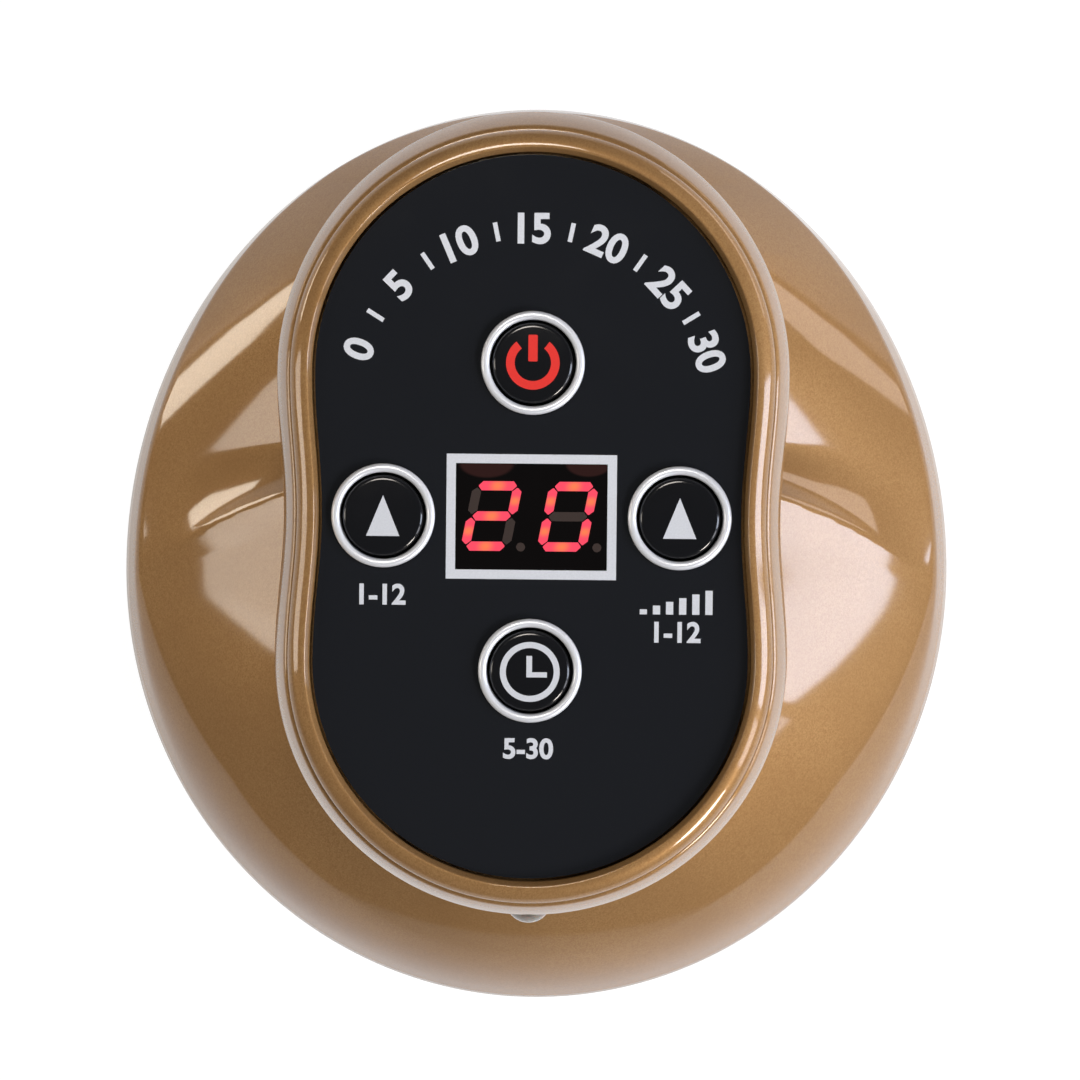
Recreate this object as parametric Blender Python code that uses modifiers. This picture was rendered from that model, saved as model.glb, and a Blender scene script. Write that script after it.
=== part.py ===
"""Hand-held electric cupping massager: an oval dome over a suction cup, with a control head on a narrow neck.

World frame: +Z up, -Y towards the user, origin on the table under the middle of the body.
"""

import math

import bmesh
import bpy
import numpy as np
from mathutils import Matrix, Vector

MM = 0.001

# Clearances and overruns
GAP = 0.3 * MM
OVERRUN = 1.0 * MM

# Facets
ROUND_LARGE = 36
ROUND_MEDIUM = 16
ROUND_SMALL = 10
LOBE_END_STEPS = 10
LOBE_SIDE_STEPS = 4
DOME_STEPS = 48

# Driving dimensions of the whole
BODY_WIDTH = 90.4 * MM
BODY_FRONT = 47.2 * MM
BODY_BACK = 50.6 * MM
CUP_HEIGHT = 18.7 * MM
RIM_RISE = 8.0 * MM
NECK_RISE = 29.0 * MM
HEAD_RISE = 26.0 * MM
HEAD_SHIFT = 4.4 * MM
LOBE_SPACING = 28.6 * MM
WAIST_PINCH = 0.8 * MM
HEAD_FLARE = 4.8 * MM
HEAD_BORDER = 4.2 * MM
PANEL_MARGIN = 1.75 * MM
KEY_SPACING_X = 2.05 * MM
KEY_SPACING_Y = 4.86 * MM

# Dome shell
DOME_WALL = 2.0 * MM
RIM_TUCK = 3.2 * MM
COLLAR_FLARE = 5.0 * MM
COLLAR_KNEE = 2.6 * MM
COLLAR_LAND = 0.6 * MM
TUCK_STEPS = 3
FACE_STEPS = 5
FLARE_STEPS = 4
SHOULDER_INSET = 1.65 * MM
SHOULDER_RISE = 6.2 * MM
FRONT_SHOULDER_INSET = 3.0 * MM
FRONT_SHOULDER_RISE = 9.5 * MM
SHOULDER_FADE_DEGREES = 30.0
FRONT_CROWN_SHARE = 0.71
BACK_CROWN_SHARE = 0.60
FRONT_BULGE_DEGREES = 10.0
BACK_BULGE_DEGREES = 5.0
RIDGE_RIM_DEGREES = -2.0
RIDGE_NECK_DEGREES = 4.0
RIDGE_RIM_WIDTH_DEGREES = 12.0
RIDGE_NECK_WIDTH_DEGREES = 8.0
BOSS_INSET = 8.0 * MM
BOSS_RADIUS = 3.0 * MM
BOSS_HEIGHT = 11.0 * MM
BOSS_DEGREES = 42.0
BOSS_RIB_THICKNESS = 2.0 * MM
BOSS_RIB_HEIGHT = 6.0 * MM
BOSS_RIB_LIFT = 1.2 * MM

# Base plate and its screws
BASE_THICKNESS = 2.5 * MM
SCREW_RADIUS = 1.3 * MM
SCREW_HEAD_RADIUS = 2.5 * MM
SCREW_HEAD_HEIGHT = 1.2 * MM
SCREW_LENGTH = 10.0 * MM

# Cup, its socket and seal
CUP_INSET = 2.0 * MM
CUP_LIP_WIDTH = 1.5 * MM
CUP_WALL = 2.6 * MM
CUP_LIP_HEIGHT = 3.0 * MM
SOCKET_WIDTH = 3.0 * MM
SOCKET_DEPTH = 6.7 * MM
SEAL_RADIUS = 1.0 * MM
SEAL_DROP = 3.6 * MM
SEAL_FACETS = 6

# Lamp, heater and studs in the cup chamber
LAMP_LENS_MARGIN = 1.5 * MM
LAMP_LENS_CLEARANCE = 1.0 * MM
LAMP_LENS_DEPTH = 5.2 * MM
LAMP_LENS_WALL = 1.4 * MM
LAMP_BOARD_THICKNESS = 1.0 * MM
LAMP_COUNT = 6
LAMP_SIDE = 3.5 * MM
LAMP_HEIGHT = 1.6 * MM
HEATER_MARGIN = 2.1 * MM
HEATER_WIDTH = 6.0 * MM
HEATER_THICKNESS = 1.5 * MM
STUD_COUNT = 8
STUD_RADIUS = 2.5 * MM
STUD_TIP_RADIUS = 1.4 * MM
STUD_HEIGHT = 2.4 * MM

# Suction port
PORT_FLANGE_RADIUS = 5.5 * MM
PORT_FLANGE_HEIGHT = 2.2 * MM
PORT_RECESS_RADIUS = 4.2 * MM
PORT_RECESS_DEPTH = 1.4 * MM
PORT_STEM_RADIUS = 2.6 * MM
PORT_BORE_RADIUS = 1.3 * MM
PORT_STEM_HEIGHT = 9.5 * MM
PORT_BARB_RADIUS = 1.8 * MM
PORT_BARB_BORE = 0.9 * MM
PORT_BARB_REACH = 9.0 * MM
PORT_BARB_RISE = 4.5 * MM
FILTER_THICKNESS = 0.8 * MM

# Pump and motor
PUMP_Y = 15.5 * MM
PUMP_SIDE = 22.0 * MM
PUMP_PAD_HEIGHT = 1.0 * MM
PUMP_CAP_HEIGHT = 6.0 * MM
PUMP_NOZZLE_RADIUS = 1.8 * MM
PUMP_NOZZLE_BORE = 0.9 * MM
PUMP_NOZZLE_LENGTH = 5.0 * MM
DIAPHRAGM_THICKNESS = 1.0 * MM
DIAPHRAGM_CUP_RADIUS = 2.6 * MM
DIAPHRAGM_CUP_HEIGHT = 1.2 * MM
DIAPHRAGM_CUP_ORBIT = 5.2 * MM
DIAPHRAGM_CUP_COUNT = 3
PUMP_BODY_HEIGHT = 11.0 * MM
PUMP_BODY_ROOF = 1.5 * MM
PUMP_CAVITY_RADIUS = 9.0 * MM
YOKE_RADIUS = 7.8 * MM
YOKE_THICKNESS = 1.2 * MM
YOKE_HUB_RADIUS = 3.4 * MM
YOKE_HUB_HEIGHT = 2.2 * MM
YOKE_RECESS_RADIUS = 2.4 * MM
YOKE_RECESS_DEPTH = 1.8 * MM
CRANK_RADIUS = 3.0 * MM
CRANK_HEIGHT = 2.0 * MM
CRANK_PIN_RADIUS = 0.7 * MM
CRANK_PIN_OFFSET = 1.0 * MM
CRANK_PIN_REACH = 1.0 * MM
MOTOR_RADIUS = 10.0 * MM
MOTOR_HEIGHT = 22.0 * MM
MOTOR_WALL = 0.8 * MM
MAGNET_THICKNESS = 1.2 * MM
MAGNET_HEIGHT = 14.0 * MM
AIR_GAP = 0.7 * MM
ARMATURE_HEIGHT = 12.0 * MM
SHAFT_RADIUS = 1.0 * MM
SHAFT_CLEARANCE = 0.5 * MM
ENDBELL_HEIGHT = 2.0 * MM
TERMINAL_SIDE = 1.2 * MM
TERMINAL_HEIGHT = 1.5 * MM
TERMINAL_SPACING = 8.0 * MM

# Release valve
VALVE_X = -17.7 * MM
VALVE_Y = 13.0 * MM
VALVE_SIDE = 11.0 * MM
VALVE_HEIGHT = 16.0 * MM
VALVE_FLOOR = 3.0 * MM
VALVE_BORE_RADIUS = 3.0 * MM
VALVE_CAP_HEIGHT = 1.5 * MM
VALVE_NOZZLE_LENGTH = 3.2 * MM
PLUNGER_CLEARANCE = 0.4 * MM
PLUNGER_HEIGHT = 7.0 * MM
PLUNGER_SEAT_LIFT = 0.3 * MM
SPRING_RADIUS = 1.9 * MM
SPRING_WIRE_RADIUS = 0.25 * MM
SPRING_TURN_COUNT = 5
SPRING_TURN_STEPS = 8

# Battery
BATTERY_WIDTH = 40.0 * MM
BATTERY_LENGTH = 30.0 * MM
BATTERY_HEIGHT = 10.0 * MM
BATTERY_ROUNDING = 1.5 * MM
BATTERY_BACK_Y = -6.0 * MM

# Head tray
TRAY_WALL = 1.8 * MM
TRAY_PLUG_DEPTH = 3.5 * MM
TRAY_FLOOR_THICKNESS = 2.0 * MM
TRAY_SHELF_WIDTH = 5.7 * MM
TRAY_FLARE_SHARE = 2.6
TRAY_FLARE_STEPS = 7
TRAY_LIP_DROP = 6.2 * MM
TRAY_LIP_HEIGHT = 5.2 * MM
TRAY_LIP_DRAFT = 1.3 * MM
TRAY_LIP_WIDTH = 2.1 * MM
TRAY_SHOULDER_WIDTH = 1.6 * MM
TRAY_SHOULDER_DROP = 3.3 * MM
POST_RADIUS = 2.4 * MM
POST_MARGIN = 3.7 * MM
POST_PIN_RADIUS = 0.9 * MM
POST_PIN_SHOWS = 0.8 * MM

# Head bezel and control panel
BEZEL_FLANGE_WIDTH = 0.7 * MM
BEZEL_FLANGE_HEIGHT = 0.4 * MM
BEZEL_WALL = 1.5 * MM
BEZEL_CREST_RISE = 1.3 * MM
BEZEL_CREST_WIDTH = 0.4 * MM
BEZEL_INNER_RISE = 0.2 * MM
BEZEL_SLOPE_STEPS = 4
LEDGE_WIDTH = 0.7 * MM
LEDGE_THICKNESS = 1.2 * MM
PANEL_THICKNESS = 1.5 * MM
WINDOW_WIDTH = 15.0 * MM
WINDOW_LENGTH = 10.5 * MM
DISPLAY_HEIGHT = 6.9 * MM

# Keys, rings and switches
RING_OUTER_RADIUS = 5.15 * MM
RING_INNER_RADIUS = 4.3 * MM
RING_SLEEVE_RADIUS = 4.6 * MM
RING_FACE_HEIGHT = 0.45 * MM
RING_SLEEVE_BELOW = 0.9 * MM
KEY_STANDOUT = 0.7 * MM
KEY_CROWN = 0.35 * MM
KEY_FLANGE_WIDTH = 0.7 * MM
KEY_FLANGE_HEIGHT = 0.8 * MM
KEY_STEM_RADIUS = 1.4 * MM
KEY_TRAVEL = 0.6 * MM
SWITCH_SIDE = 6.0 * MM
SWITCH_HEIGHT = 3.5 * MM
SWITCH_PLUNGER_RADIUS = 1.7 * MM
SWITCH_PLUNGER_SHOWS = 0.9 * MM
SWITCH_PLUNGER_SINKS = 0.8 * MM

# Control board and what it carries
BOARD_MARGIN = 2.3 * MM
BOARD_THICKNESS = 1.6 * MM
CHIP_SIDE = 6.0 * MM
CHIP_HEIGHT = 1.5 * MM
CHIP_X = -4.5 * MM
CHIP_BEYOND = 12.7 * MM
DRIVER_SIDE = 4.0 * MM
DRIVER_X = 5.0 * MM
DRIVER_BEYOND = 12.2 * MM
CAPACITOR_RADIUS = 2.0 * MM
CAPACITOR_HEIGHT = 5.0 * MM
CAPACITOR_X = -5.0 * MM
BUZZER_RADIUS = 4.0 * MM
BUZZER_HEIGHT = 4.0 * MM
BUZZER_HOLE_RADIUS = 0.8 * MM
BUZZER_X = 4.5 * MM
BUZZER_BEYOND = 13.2 * MM

# Charging socket and indicator lamp
SOCKET_MOUTH_WIDTH = 8.9 * MM
SOCKET_MOUTH_HEIGHT = 3.2 * MM
SOCKET_SHELL = 0.35 * MM
SOCKET_LENGTH = 7.0 * MM
SOCKET_SETBACK = 0.4 * MM
SOCKET_TONGUE_HEIGHT = 0.7 * MM
SOCKET_TONGUE_SETBACK = 1.0 * MM
INDICATOR_RADIUS = 2.4 * MM
INDICATOR_STANDOUT = 2.8 * MM
INDICATOR_DROP = 9.4 * MM
INDICATOR_FLANGE_RADIUS = 2.9 * MM
INDICATOR_FLANGE_LENGTH = 0.4 * MM

# Tubes and wires
TUBE_RADIUS = 2.4 * MM
TUBE_VENT_RADIUS = 2.0 * MM
TUBE_STEPS = 10
LEAD_RADIUS = 0.8 * MM
LEAD_STEPS = 10

# Places that follow from the dimensions above
BASE_Z = CUP_HEIGHT + GAP
BASE_TOP = BASE_Z + BASE_THICKNESS
INSIDE_FLOOR = BASE_TOP + GAP
UNDER_BASE = BASE_Z - GAP
RIM_Z = BASE_Z + RIM_RISE
COLLAR_Z = RIM_Z + NECK_RISE
PANEL_TOP = COLLAR_Z + HEAD_RISE
PANEL_UNDER = PANEL_TOP - PANEL_THICKNESS
BODY_SHIFT = (BODY_BACK - BODY_FRONT) / 2
KEY_PITCH_X = WINDOW_WIDTH / 2 + KEY_SPACING_X + RING_OUTER_RADIUS
KEY_PITCH_Y = WINDOW_LENGTH / 2 + KEY_SPACING_Y + RING_OUTER_RADIUS
PANEL_RADIUS = KEY_PITCH_X + RING_OUTER_RADIUS + PANEL_MARGIN
HEAD_RADIUS = PANEL_RADIUS + HEAD_BORDER
NECK_RADIUS = HEAD_RADIUS - HEAD_FLARE
LOBE_Y = LOBE_SPACING / 2
PLUG_RADIUS = NECK_RADIUS - DOME_WALL - GAP
TRAY_HOLE_RADIUS = PLUG_RADIUS - TRAY_SHELF_WIDTH
BOARD_RADIUS = PANEL_RADIUS - BOARD_MARGIN
ARMATURE_RADIUS = MOTOR_RADIUS - MOTOR_WALL - GAP - MAGNET_THICKNESS - AIR_GAP
POST_ORBIT = BOARD_RADIUS - POST_MARGIN
BEZEL_OUTER = HEAD_RADIUS - TRAY_LIP_WIDTH - GAP
TRAY_SHOULDER_Z = PANEL_TOP - TRAY_SHOULDER_DROP
TRAY_LIP_Z = PANEL_TOP - TRAY_LIP_DROP
TRAY_TOP = TRAY_LIP_Z + TRAY_LIP_HEIGHT
TRAY_FLOOR_TOP = COLLAR_Z + GAP + TRAY_FLOOR_THICKNESS
BOARD_TOP = PANEL_UNDER - 2 * GAP - DISPLAY_HEIGHT
BOARD_UNDER = BOARD_TOP - BOARD_THICKNESS
ON_BOARD = BOARD_TOP + GAP
CUP_RADIUS = BODY_WIDTH / 2 - RIM_TUCK - CUP_INSET
CUP_LIP_RADIUS = CUP_RADIUS + CUP_LIP_WIDTH
CUP_INNER = CUP_RADIUS - CUP_WALL
SOCKET_OUTER = CUP_INNER - GAP
SOCKET_INNER = SOCKET_OUTER - SOCKET_WIDTH
HEATER_OUTER = SOCKET_INNER - HEATER_MARGIN
HEATER_INNER = HEATER_OUTER - HEATER_WIDTH
LAMP_LENS_OUTER = HEATER_INNER - LAMP_LENS_MARGIN
LAMP_LENS_INNER = PORT_FLANGE_RADIUS + LAMP_LENS_CLEARANCE
KEY_RADIUS = RING_INNER_RADIUS - GAP
RING_HOLE_RADIUS = RING_SLEEVE_RADIUS + GAP

COLLECTION_NAME = "electric_cupping_massager"
KEY_PLACES = {
    "power": (0.0, HEAD_SHIFT + KEY_PITCH_Y),
    "heat": (-KEY_PITCH_X, HEAD_SHIFT),
    "suction": (KEY_PITCH_X, HEAD_SHIFT),
    "time": (0.0, HEAD_SHIFT - KEY_PITCH_Y),
}

# Finishes: colour, roughness, metallic
FINISHES = {
    "gold_paint": ((0.39, 0.22, 0.10), 0.25, 0.6),
    "black_acrylic": ((0.010, 0.010, 0.012), 0.12, 0.0),
    "smoked_window": ((0.02, 0.005, 0.005), 0.08, 0.0),
    "display_black": ((0.015, 0.015, 0.015), 0.5, 0.0),
    "chrome_trim": ((0.8, 0.8, 0.82), 0.12, 1.0),
    "key_black": ((0.012, 0.012, 0.014), 0.3, 0.0),
    "clear_lamp": ((0.75, 0.73, 0.70), 0.1, 0.0),
    "cup_black": ((0.02, 0.02, 0.022), 0.35, 0.0),
    "inner_plastic": ((0.05, 0.05, 0.055), 0.5, 0.0),
    "seal_rubber": ((0.03, 0.03, 0.03), 0.7, 0.0),
    "board_green": ((0.01, 0.12, 0.04), 0.4, 0.0),
    "screw_steel": ((0.5, 0.5, 0.5), 0.35, 1.0),
    "heater_aluminium": ((0.75, 0.75, 0.76), 0.35, 1.0),
    "red_lens": ((0.45, 0.01, 0.01), 0.15, 0.0),
    "silicone": ((0.7, 0.7, 0.68), 0.4, 0.0),
    "battery_wrap": ((0.02, 0.12, 0.35), 0.35, 0.0),
    "wire_red": ((0.5, 0.02, 0.02), 0.5, 0.0),
}


def clear_scene():
    for obj in list(bpy.data.objects):
        bpy.data.objects.remove(obj, do_unlink=True)


def new_collection(name, hidden=False):
    found = bpy.data.collections.new(name)
    found.hide_render = hidden
    bpy.context.scene.collection.children.link(found)
    return found


def material_for(finish):
    found = bpy.data.materials.get(finish)
    if found:
        return found
    colour, roughness, metallic = FINISHES[finish]
    found = bpy.data.materials.new(finish)
    found.use_nodes = True
    shader = found.node_tree.nodes["Principled BSDF"]
    shader.inputs["Base Color"].default_value = (*colour, 1.0)
    shader.inputs["Roughness"].default_value = roughness
    shader.inputs["Metallic"].default_value = metallic
    return found


def shade(obj):
    obj.data.shade_smooth()
    obj.data.set_sharp_from_angle(angle=math.radians(35))


def as_part(obj, finish, parent=None):
    """Puts the object among the parts with its finish."""
    bpy.data.collections[COLLECTION_NAME].objects.link(obj)
    obj.data.materials.clear()
    obj.data.materials.append(material_for(finish))
    if parent:
        obj.parent = parent
        obj.matrix_parent_inverse = parent.matrix_world.inverted()
    return obj


def pivot(name, place):
    """An empty on a joint's axis, which carries the pieces that move on it."""
    empty = bpy.data.objects.new(name, None)
    empty.empty_display_size = 5 * OVERRUN
    empty.location = place
    bpy.data.collections[COLLECTION_NAME].objects.link(empty)
    bpy.context.view_layer.update()
    return empty


def helper(obj):
    """Keeps the object for a Boolean and out of the part."""
    bpy.data.collections["cutters"].objects.link(obj)
    obj.hide_render = True
    obj.display_type = "WIRE"
    return obj


def boolean(obj, tool, operation):
    modifier = obj.modifiers.new(operation.title(), "BOOLEAN")
    modifier.operation = operation
    modifier.object = helper(tool)
    return obj


def cut(obj, tool):
    return boolean(obj, tool, "DIFFERENCE")


def fuse(obj, tool):
    return boolean(obj, tool, "UNION")


def mesh_object(name, build):
    """A mesh object whose bmesh is filled by build."""
    mesh = bpy.data.meshes.new(name)
    work = bmesh.new()
    build(work)
    work.to_mesh(mesh)
    work.free()
    obj = bpy.data.objects.new(name, mesh)
    shade(obj)
    return obj


def add_box(work, centre, size):
    place = Matrix.Translation(centre) @ Matrix.Diagonal((*size, 1.0))
    bmesh.ops.create_cube(work, size=1.0, matrix=place)


def add_rod(work, start, axis, length, radius, segments=ROUND_MEDIUM):
    """A closed cylinder that runs from start along axis."""
    turn = Vector((0, 0, 1)).rotation_difference(Vector(axis)).to_matrix().to_4x4()
    middle = Vector(start) + Vector(axis).normalized() * (length / 2)
    bmesh.ops.create_cone(
        work,
        cap_ends=True,
        segments=segments,
        radius1=radius,
        radius2=radius,
        depth=length,
        matrix=Matrix.Translation(middle) @ turn,
    )


def box(name, centre, size, rounding=None):
    obj = mesh_object(name, lambda work: add_box(work, centre, size))
    if rounding:
        bevel = obj.modifiers.new("Rounding", "BEVEL")
        bevel.width = rounding
        bevel.segments = 2
    return obj


def rod(name, start, axis, length, radius, segments=ROUND_MEDIUM):
    return mesh_object(name, lambda work: add_rod(work, start, axis, length, radius, segments))


def rods(name, starts, axis, length, radius, segments=ROUND_MEDIUM):
    """Separate cylinders of one size in one object."""

    def build(work):
        for start in starts:
            add_rod(work, start, axis, length, radius, segments)

    return mesh_object(name, build)


def turned(name, profile, place=(0, 0, 0), segments=ROUND_MEDIUM, closed=False, axis=None):
    """A profile of (radius, height) turned about Z, its outer side from top to bottom."""
    points = [(radius, 0.0, height) for radius, height in profile]
    edges = [(index, index + 1) for index in range(len(points) - 1)]
    if closed:
        edges.append((len(points) - 1, 0))
    mesh = bpy.data.meshes.new(name)
    mesh.from_pydata(points, edges, [])
    obj = bpy.data.objects.new(name, mesh)
    obj.location = place
    if axis:
        obj.rotation_mode = "QUATERNION"
        obj.rotation_quaternion = Vector((0, 0, 1)).rotation_difference(Vector(axis))
    screw = obj.modifiers.new("Turn", "SCREW")
    screw.steps = segments
    screw.render_steps = segments
    screw.use_merge_vertices = True
    screw.merge_threshold = 0.0001
    screw.use_smooth_shade = True
    return obj


def washer(name, outer, inner, low, high, segments=ROUND_LARGE):
    """A flat ring between two heights."""
    profile = [(inner, high), (outer, high), (outer, low), (inner, low)]
    return turned(name, profile, segments=segments, closed=True)


def as_mesh(obj):
    """The object with its modifiers applied, in world space, in place of the object."""
    bpy.data.collections["cutters"].objects.link(obj)
    bpy.context.view_layer.update()
    graph = bpy.context.evaluated_depsgraph_get()
    mesh = bpy.data.meshes.new_from_object(obj.evaluated_get(graph))
    work = bmesh.new()
    work.from_mesh(mesh)
    bmesh.ops.remove_doubles(work, verts=work.verts, dist=GAP / 100)
    work.to_mesh(mesh)
    work.free()
    mesh.transform(obj.matrix_world)
    name = obj.name
    bpy.data.objects.remove(obj, do_unlink=True)
    made = bpy.data.objects.new(name, mesh)
    made.name = name
    return made


def flat(name, loops, low, thickness):
    """A flat outline with holes, the first loop being the outline."""
    curve = bpy.data.curves.new(name, "CURVE")
    curve.dimensions = "2D"
    curve.fill_mode = "BOTH"
    curve.extrude = thickness / 2
    for loop in loops:
        spline = curve.splines.new("POLY")
        spline.points.add(len(loop) - 1)
        for point, (x, y) in zip(spline.points, loop):
            point.co = (x, y, 0.0, 1.0)
        spline.use_cyclic_u = True
    obj = bpy.data.objects.new(name, curve)
    obj.location.z = low + thickness / 2
    return obj


def smooth_route(points, steps):
    """A smooth curve through the route's points, its first and last runs straight."""
    knots = [np.array(point) for point in points]
    spans = len(knots) - 3
    route = [knots[0]]
    for index in range(steps + 1 if spans > 0 else 0):
        at = spans * index / steps
        span = min(int(at), spans - 1)
        t = at - span
        a, b, c, d = knots[span : span + 4]
        bend = (2 * a - 5 * b + 4 * c - d) * t**2 + (3 * b - a - 3 * c + d) * t**3
        route.append(0.5 * (2 * b + (c - a) * t + bend))
    return [*route, knots[-1]]


def tube(name, points, radius, steps):
    """A tube or wire along a smooth route, with filled ends."""
    curve = bpy.data.curves.new(name, "CURVE")
    curve.dimensions = "3D"
    curve.bevel_depth = radius
    curve.bevel_resolution = 2
    curve.use_fill_caps = True
    route = smooth_route(points, steps)
    spline = curve.splines.new("POLY")
    spline.points.add(len(route) - 1)
    for point, place in zip(spline.points, route):
        point.co = (*place, 1.0)
    return bpy.data.objects.new(name, curve)


def circle_loop(x, y, radius, segments=ROUND_MEDIUM):
    angles = [2 * math.pi * index / segments for index in range(segments)]
    return [(x + radius * math.cos(angle), y + radius * math.sin(angle)) for angle in angles]


def rectangle_loop(x, y, width, length):
    corners = ((-1, -1), (1, -1), (1, 1), (-1, 1))
    return [(x + across * width / 2, y + along * length / 2) for across, along in corners]


def lobed_loop(radius):
    """The head's outline: two round lobes joined by a shallow waist."""
    half = []
    for index in range(LOBE_END_STEPS + 1):
        angle = math.pi * index / LOBE_END_STEPS
        half.append((radius * math.cos(angle), LOBE_Y + radius * math.sin(angle)))
    for index in range(1, LOBE_SIDE_STEPS):
        share = index / LOBE_SIDE_STEPS
        pinch = WAIST_PINCH * (1 - math.cos(2 * math.pi * share)) / 2
        half.append((pinch - radius, LOBE_Y - LOBE_SPACING * share))
    whole = half + [(-x, -y) for x, y in half]
    return [(x, y + HEAD_SHIFT) for x, y in whole]


def lobed_reach(radius, angle):
    """How far the lobed outline lies from the head's middle in the direction of angle."""
    loop = [(x, y - HEAD_SHIFT) for x, y in lobed_loop(radius)]
    ways = np.array([math.atan2(y, x) % (2 * math.pi) for x, y in loop])
    reach = np.array([math.hypot(x, y) for x, y in loop])
    order = np.argsort(ways)
    return float(np.interp(angle % (2 * math.pi), ways[order], reach[order], period=2 * math.pi))


def egg_point(angle, inset):
    """A point of the body's plan outline, moved in by inset."""
    depth = BODY_BACK if math.sin(angle) > 0 else BODY_FRONT
    x = (BODY_WIDTH / 2 - inset) * math.cos(angle)
    y = (depth - inset) * math.sin(angle) - BODY_SHIFT
    return x, y


def neck_point(angle, radius):
    """The point of the neck's outline that the body's outline point at angle runs up to."""
    way = math.atan2((radius + LOBE_Y) * math.sin(angle), radius * math.cos(angle))
    reach = lobed_reach(radius, way)
    return reach * math.cos(way), HEAD_SHIFT + reach * math.sin(way)


def blend(start, end, share):
    return start + (end - start) * min(max(share, 0.0), 1.0)


def dome_point(angle, share):
    """A point of the dome's face, from its shoulder at share 0 to the foot of the neck at 1."""
    side = math.degrees(math.asin(math.sin(angle)))
    crest = blend(RIDGE_RIM_DEGREES, RIDGE_NECK_DEGREES, share)
    slope = blend(0.0, 1.0, (side - crest) / blend(RIDGE_RIM_WIDTH_DEGREES, RIDGE_NECK_WIDTH_DEGREES, share))
    behind = slope * (2 - slope)
    front = (RIDGE_RIM_DEGREES - side) / SHOULDER_FADE_DEGREES
    inset = blend(SHOULDER_INSET, FRONT_SHOULDER_INSET, front)
    low = blend(SHOULDER_RISE, FRONT_SHOULDER_RISE, front)
    crown = NECK_RISE * blend(FRONT_CROWN_SHARE, BACK_CROWN_SHARE, behind)
    rim = Vector(egg_point(angle, 0.0))
    foot = Vector(neck_point(angle, NECK_RADIUS + COLLAR_FLARE))
    reach = (foot - rim).length
    chord = Vector((reach - inset, crown - low))
    bulge = math.tan(math.radians(blend(FRONT_BULGE_DEGREES, BACK_BULGE_DEGREES, behind)))
    across, up = chord * share + Vector((-chord.y, chord.x)) * bulge * share * (1 - share)
    place = rim.lerp(foot, (inset + across) / reach)
    return place.x, place.y, RIM_Z + low + up


def dome_rings():
    """The rings of the dome's outer surface, from its lower edge to the collar's top."""
    angles = [2 * math.pi * index / DOME_STEPS for index in range(DOME_STEPS)]
    rings = []
    for index in range(TUCK_STEPS):
        turn = math.pi / 2 * index / TUCK_STEPS
        height = BASE_Z + RIM_RISE * (1 - math.cos(turn))
        inset = RIM_TUCK * (1 - math.sin(turn))
        rings.append([(*egg_point(angle, inset), height) for angle in angles])
    rings.append([(*egg_point(angle, 0.0), RIM_Z) for angle in angles])
    for index in range(FACE_STEPS + 1):
        rings.append([dome_point(angle, index / FACE_STEPS) for angle in angles])
    crowns = [height for _, _, height in rings[-1]]
    for index in range(1, FLARE_STEPS + 1):
        share = index / FLARE_STEPS
        radius = NECK_RADIUS + COLLAR_FLARE * (1 - share) ** 2
        ring = []
        for angle, crown in zip(angles, crowns):
            height = crown + 2 * share * (1 - share) * COLLAR_KNEE + share**2 * (COLLAR_Z - COLLAR_LAND - crown)
            ring.append((*neck_point(angle, radius), height))
        rings.append(ring)
    rings.append([(x, y, COLLAR_Z) for x, y, _ in rings[-1]])
    return rings


def skin(work, rings, around=False):
    """Faces between rings of equal counts, the rings going up on the outside."""
    rows = [[work.verts.new(point) for point in ring] for ring in rings]
    pairs = list(zip(rows, rows[1:]))
    if around:
        pairs.append((rows[-1], rows[0]))
    for lower, upper in pairs:
        for index in range(len(lower)):
            after = (index + 1) % len(lower)
            work.faces.new((lower[index], lower[after], upper[after], upper[index]))


def boss_places():
    """The screw bosses of the dome, two at each side."""
    places = []
    for degrees in (BOSS_DEGREES, 180 - BOSS_DEGREES, 180 + BOSS_DEGREES, -BOSS_DEGREES):
        places.append(egg_point(math.radians(degrees), BOSS_INSET))
    return places


def boss_ribs(work):
    """A rib from each boss into the dome's wall."""
    length = BOSS_INSET - DOME_WALL * 2 / 3
    for x, y in boss_places():
        outward = Vector((x, y + BODY_SHIFT, 0)).normalized()
        low = INSIDE_FLOOR + BOSS_RIB_LIFT
        centre = Vector((x, y, low + BOSS_RIB_HEIGHT / 2)) + outward * (length / 2)
        turn = Vector((1, 0, 0)).rotation_difference(outward).to_matrix().to_4x4()
        size = Matrix.Diagonal((length, BOSS_RIB_THICKNESS, BOSS_RIB_HEIGHT, 1.0))
        bmesh.ops.create_cube(work, size=1.0, matrix=Matrix.Translation(centre) @ turn @ size)


def make_dome_shell():
    shell = mesh_object("dome_shell", lambda work: skin(work, dome_rings()))
    solidify = shell.modifiers.new("Wall", "SOLIDIFY")
    solidify.thickness = DOME_WALL
    solidify.offset = -1.0
    up = (0, 0, 1)
    starts = [(x, y, INSIDE_FLOOR) for x, y in boss_places()]
    fuse(shell, rods("dome_bosses", starts, up, BOSS_HEIGHT, BOSS_RADIUS))
    fuse(shell, mesh_object("dome_boss_ribs", boss_ribs))
    lower = [(x, y, INSIDE_FLOOR - OVERRUN) for x, y in boss_places()]
    cut(shell, rods("dome_pilots", lower, up, SCREW_LENGTH + OVERRUN, SCREW_RADIUS + GAP, ROUND_SMALL))
    return as_part(shell, "gold_paint")


def lead_hole():
    """Where the lead of the lamp and the heater passes the base plate."""
    return -(LAMP_LENS_INNER + LAMP_LENS_OUTER) / 2, BATTERY_BACK_Y / 2


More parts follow.
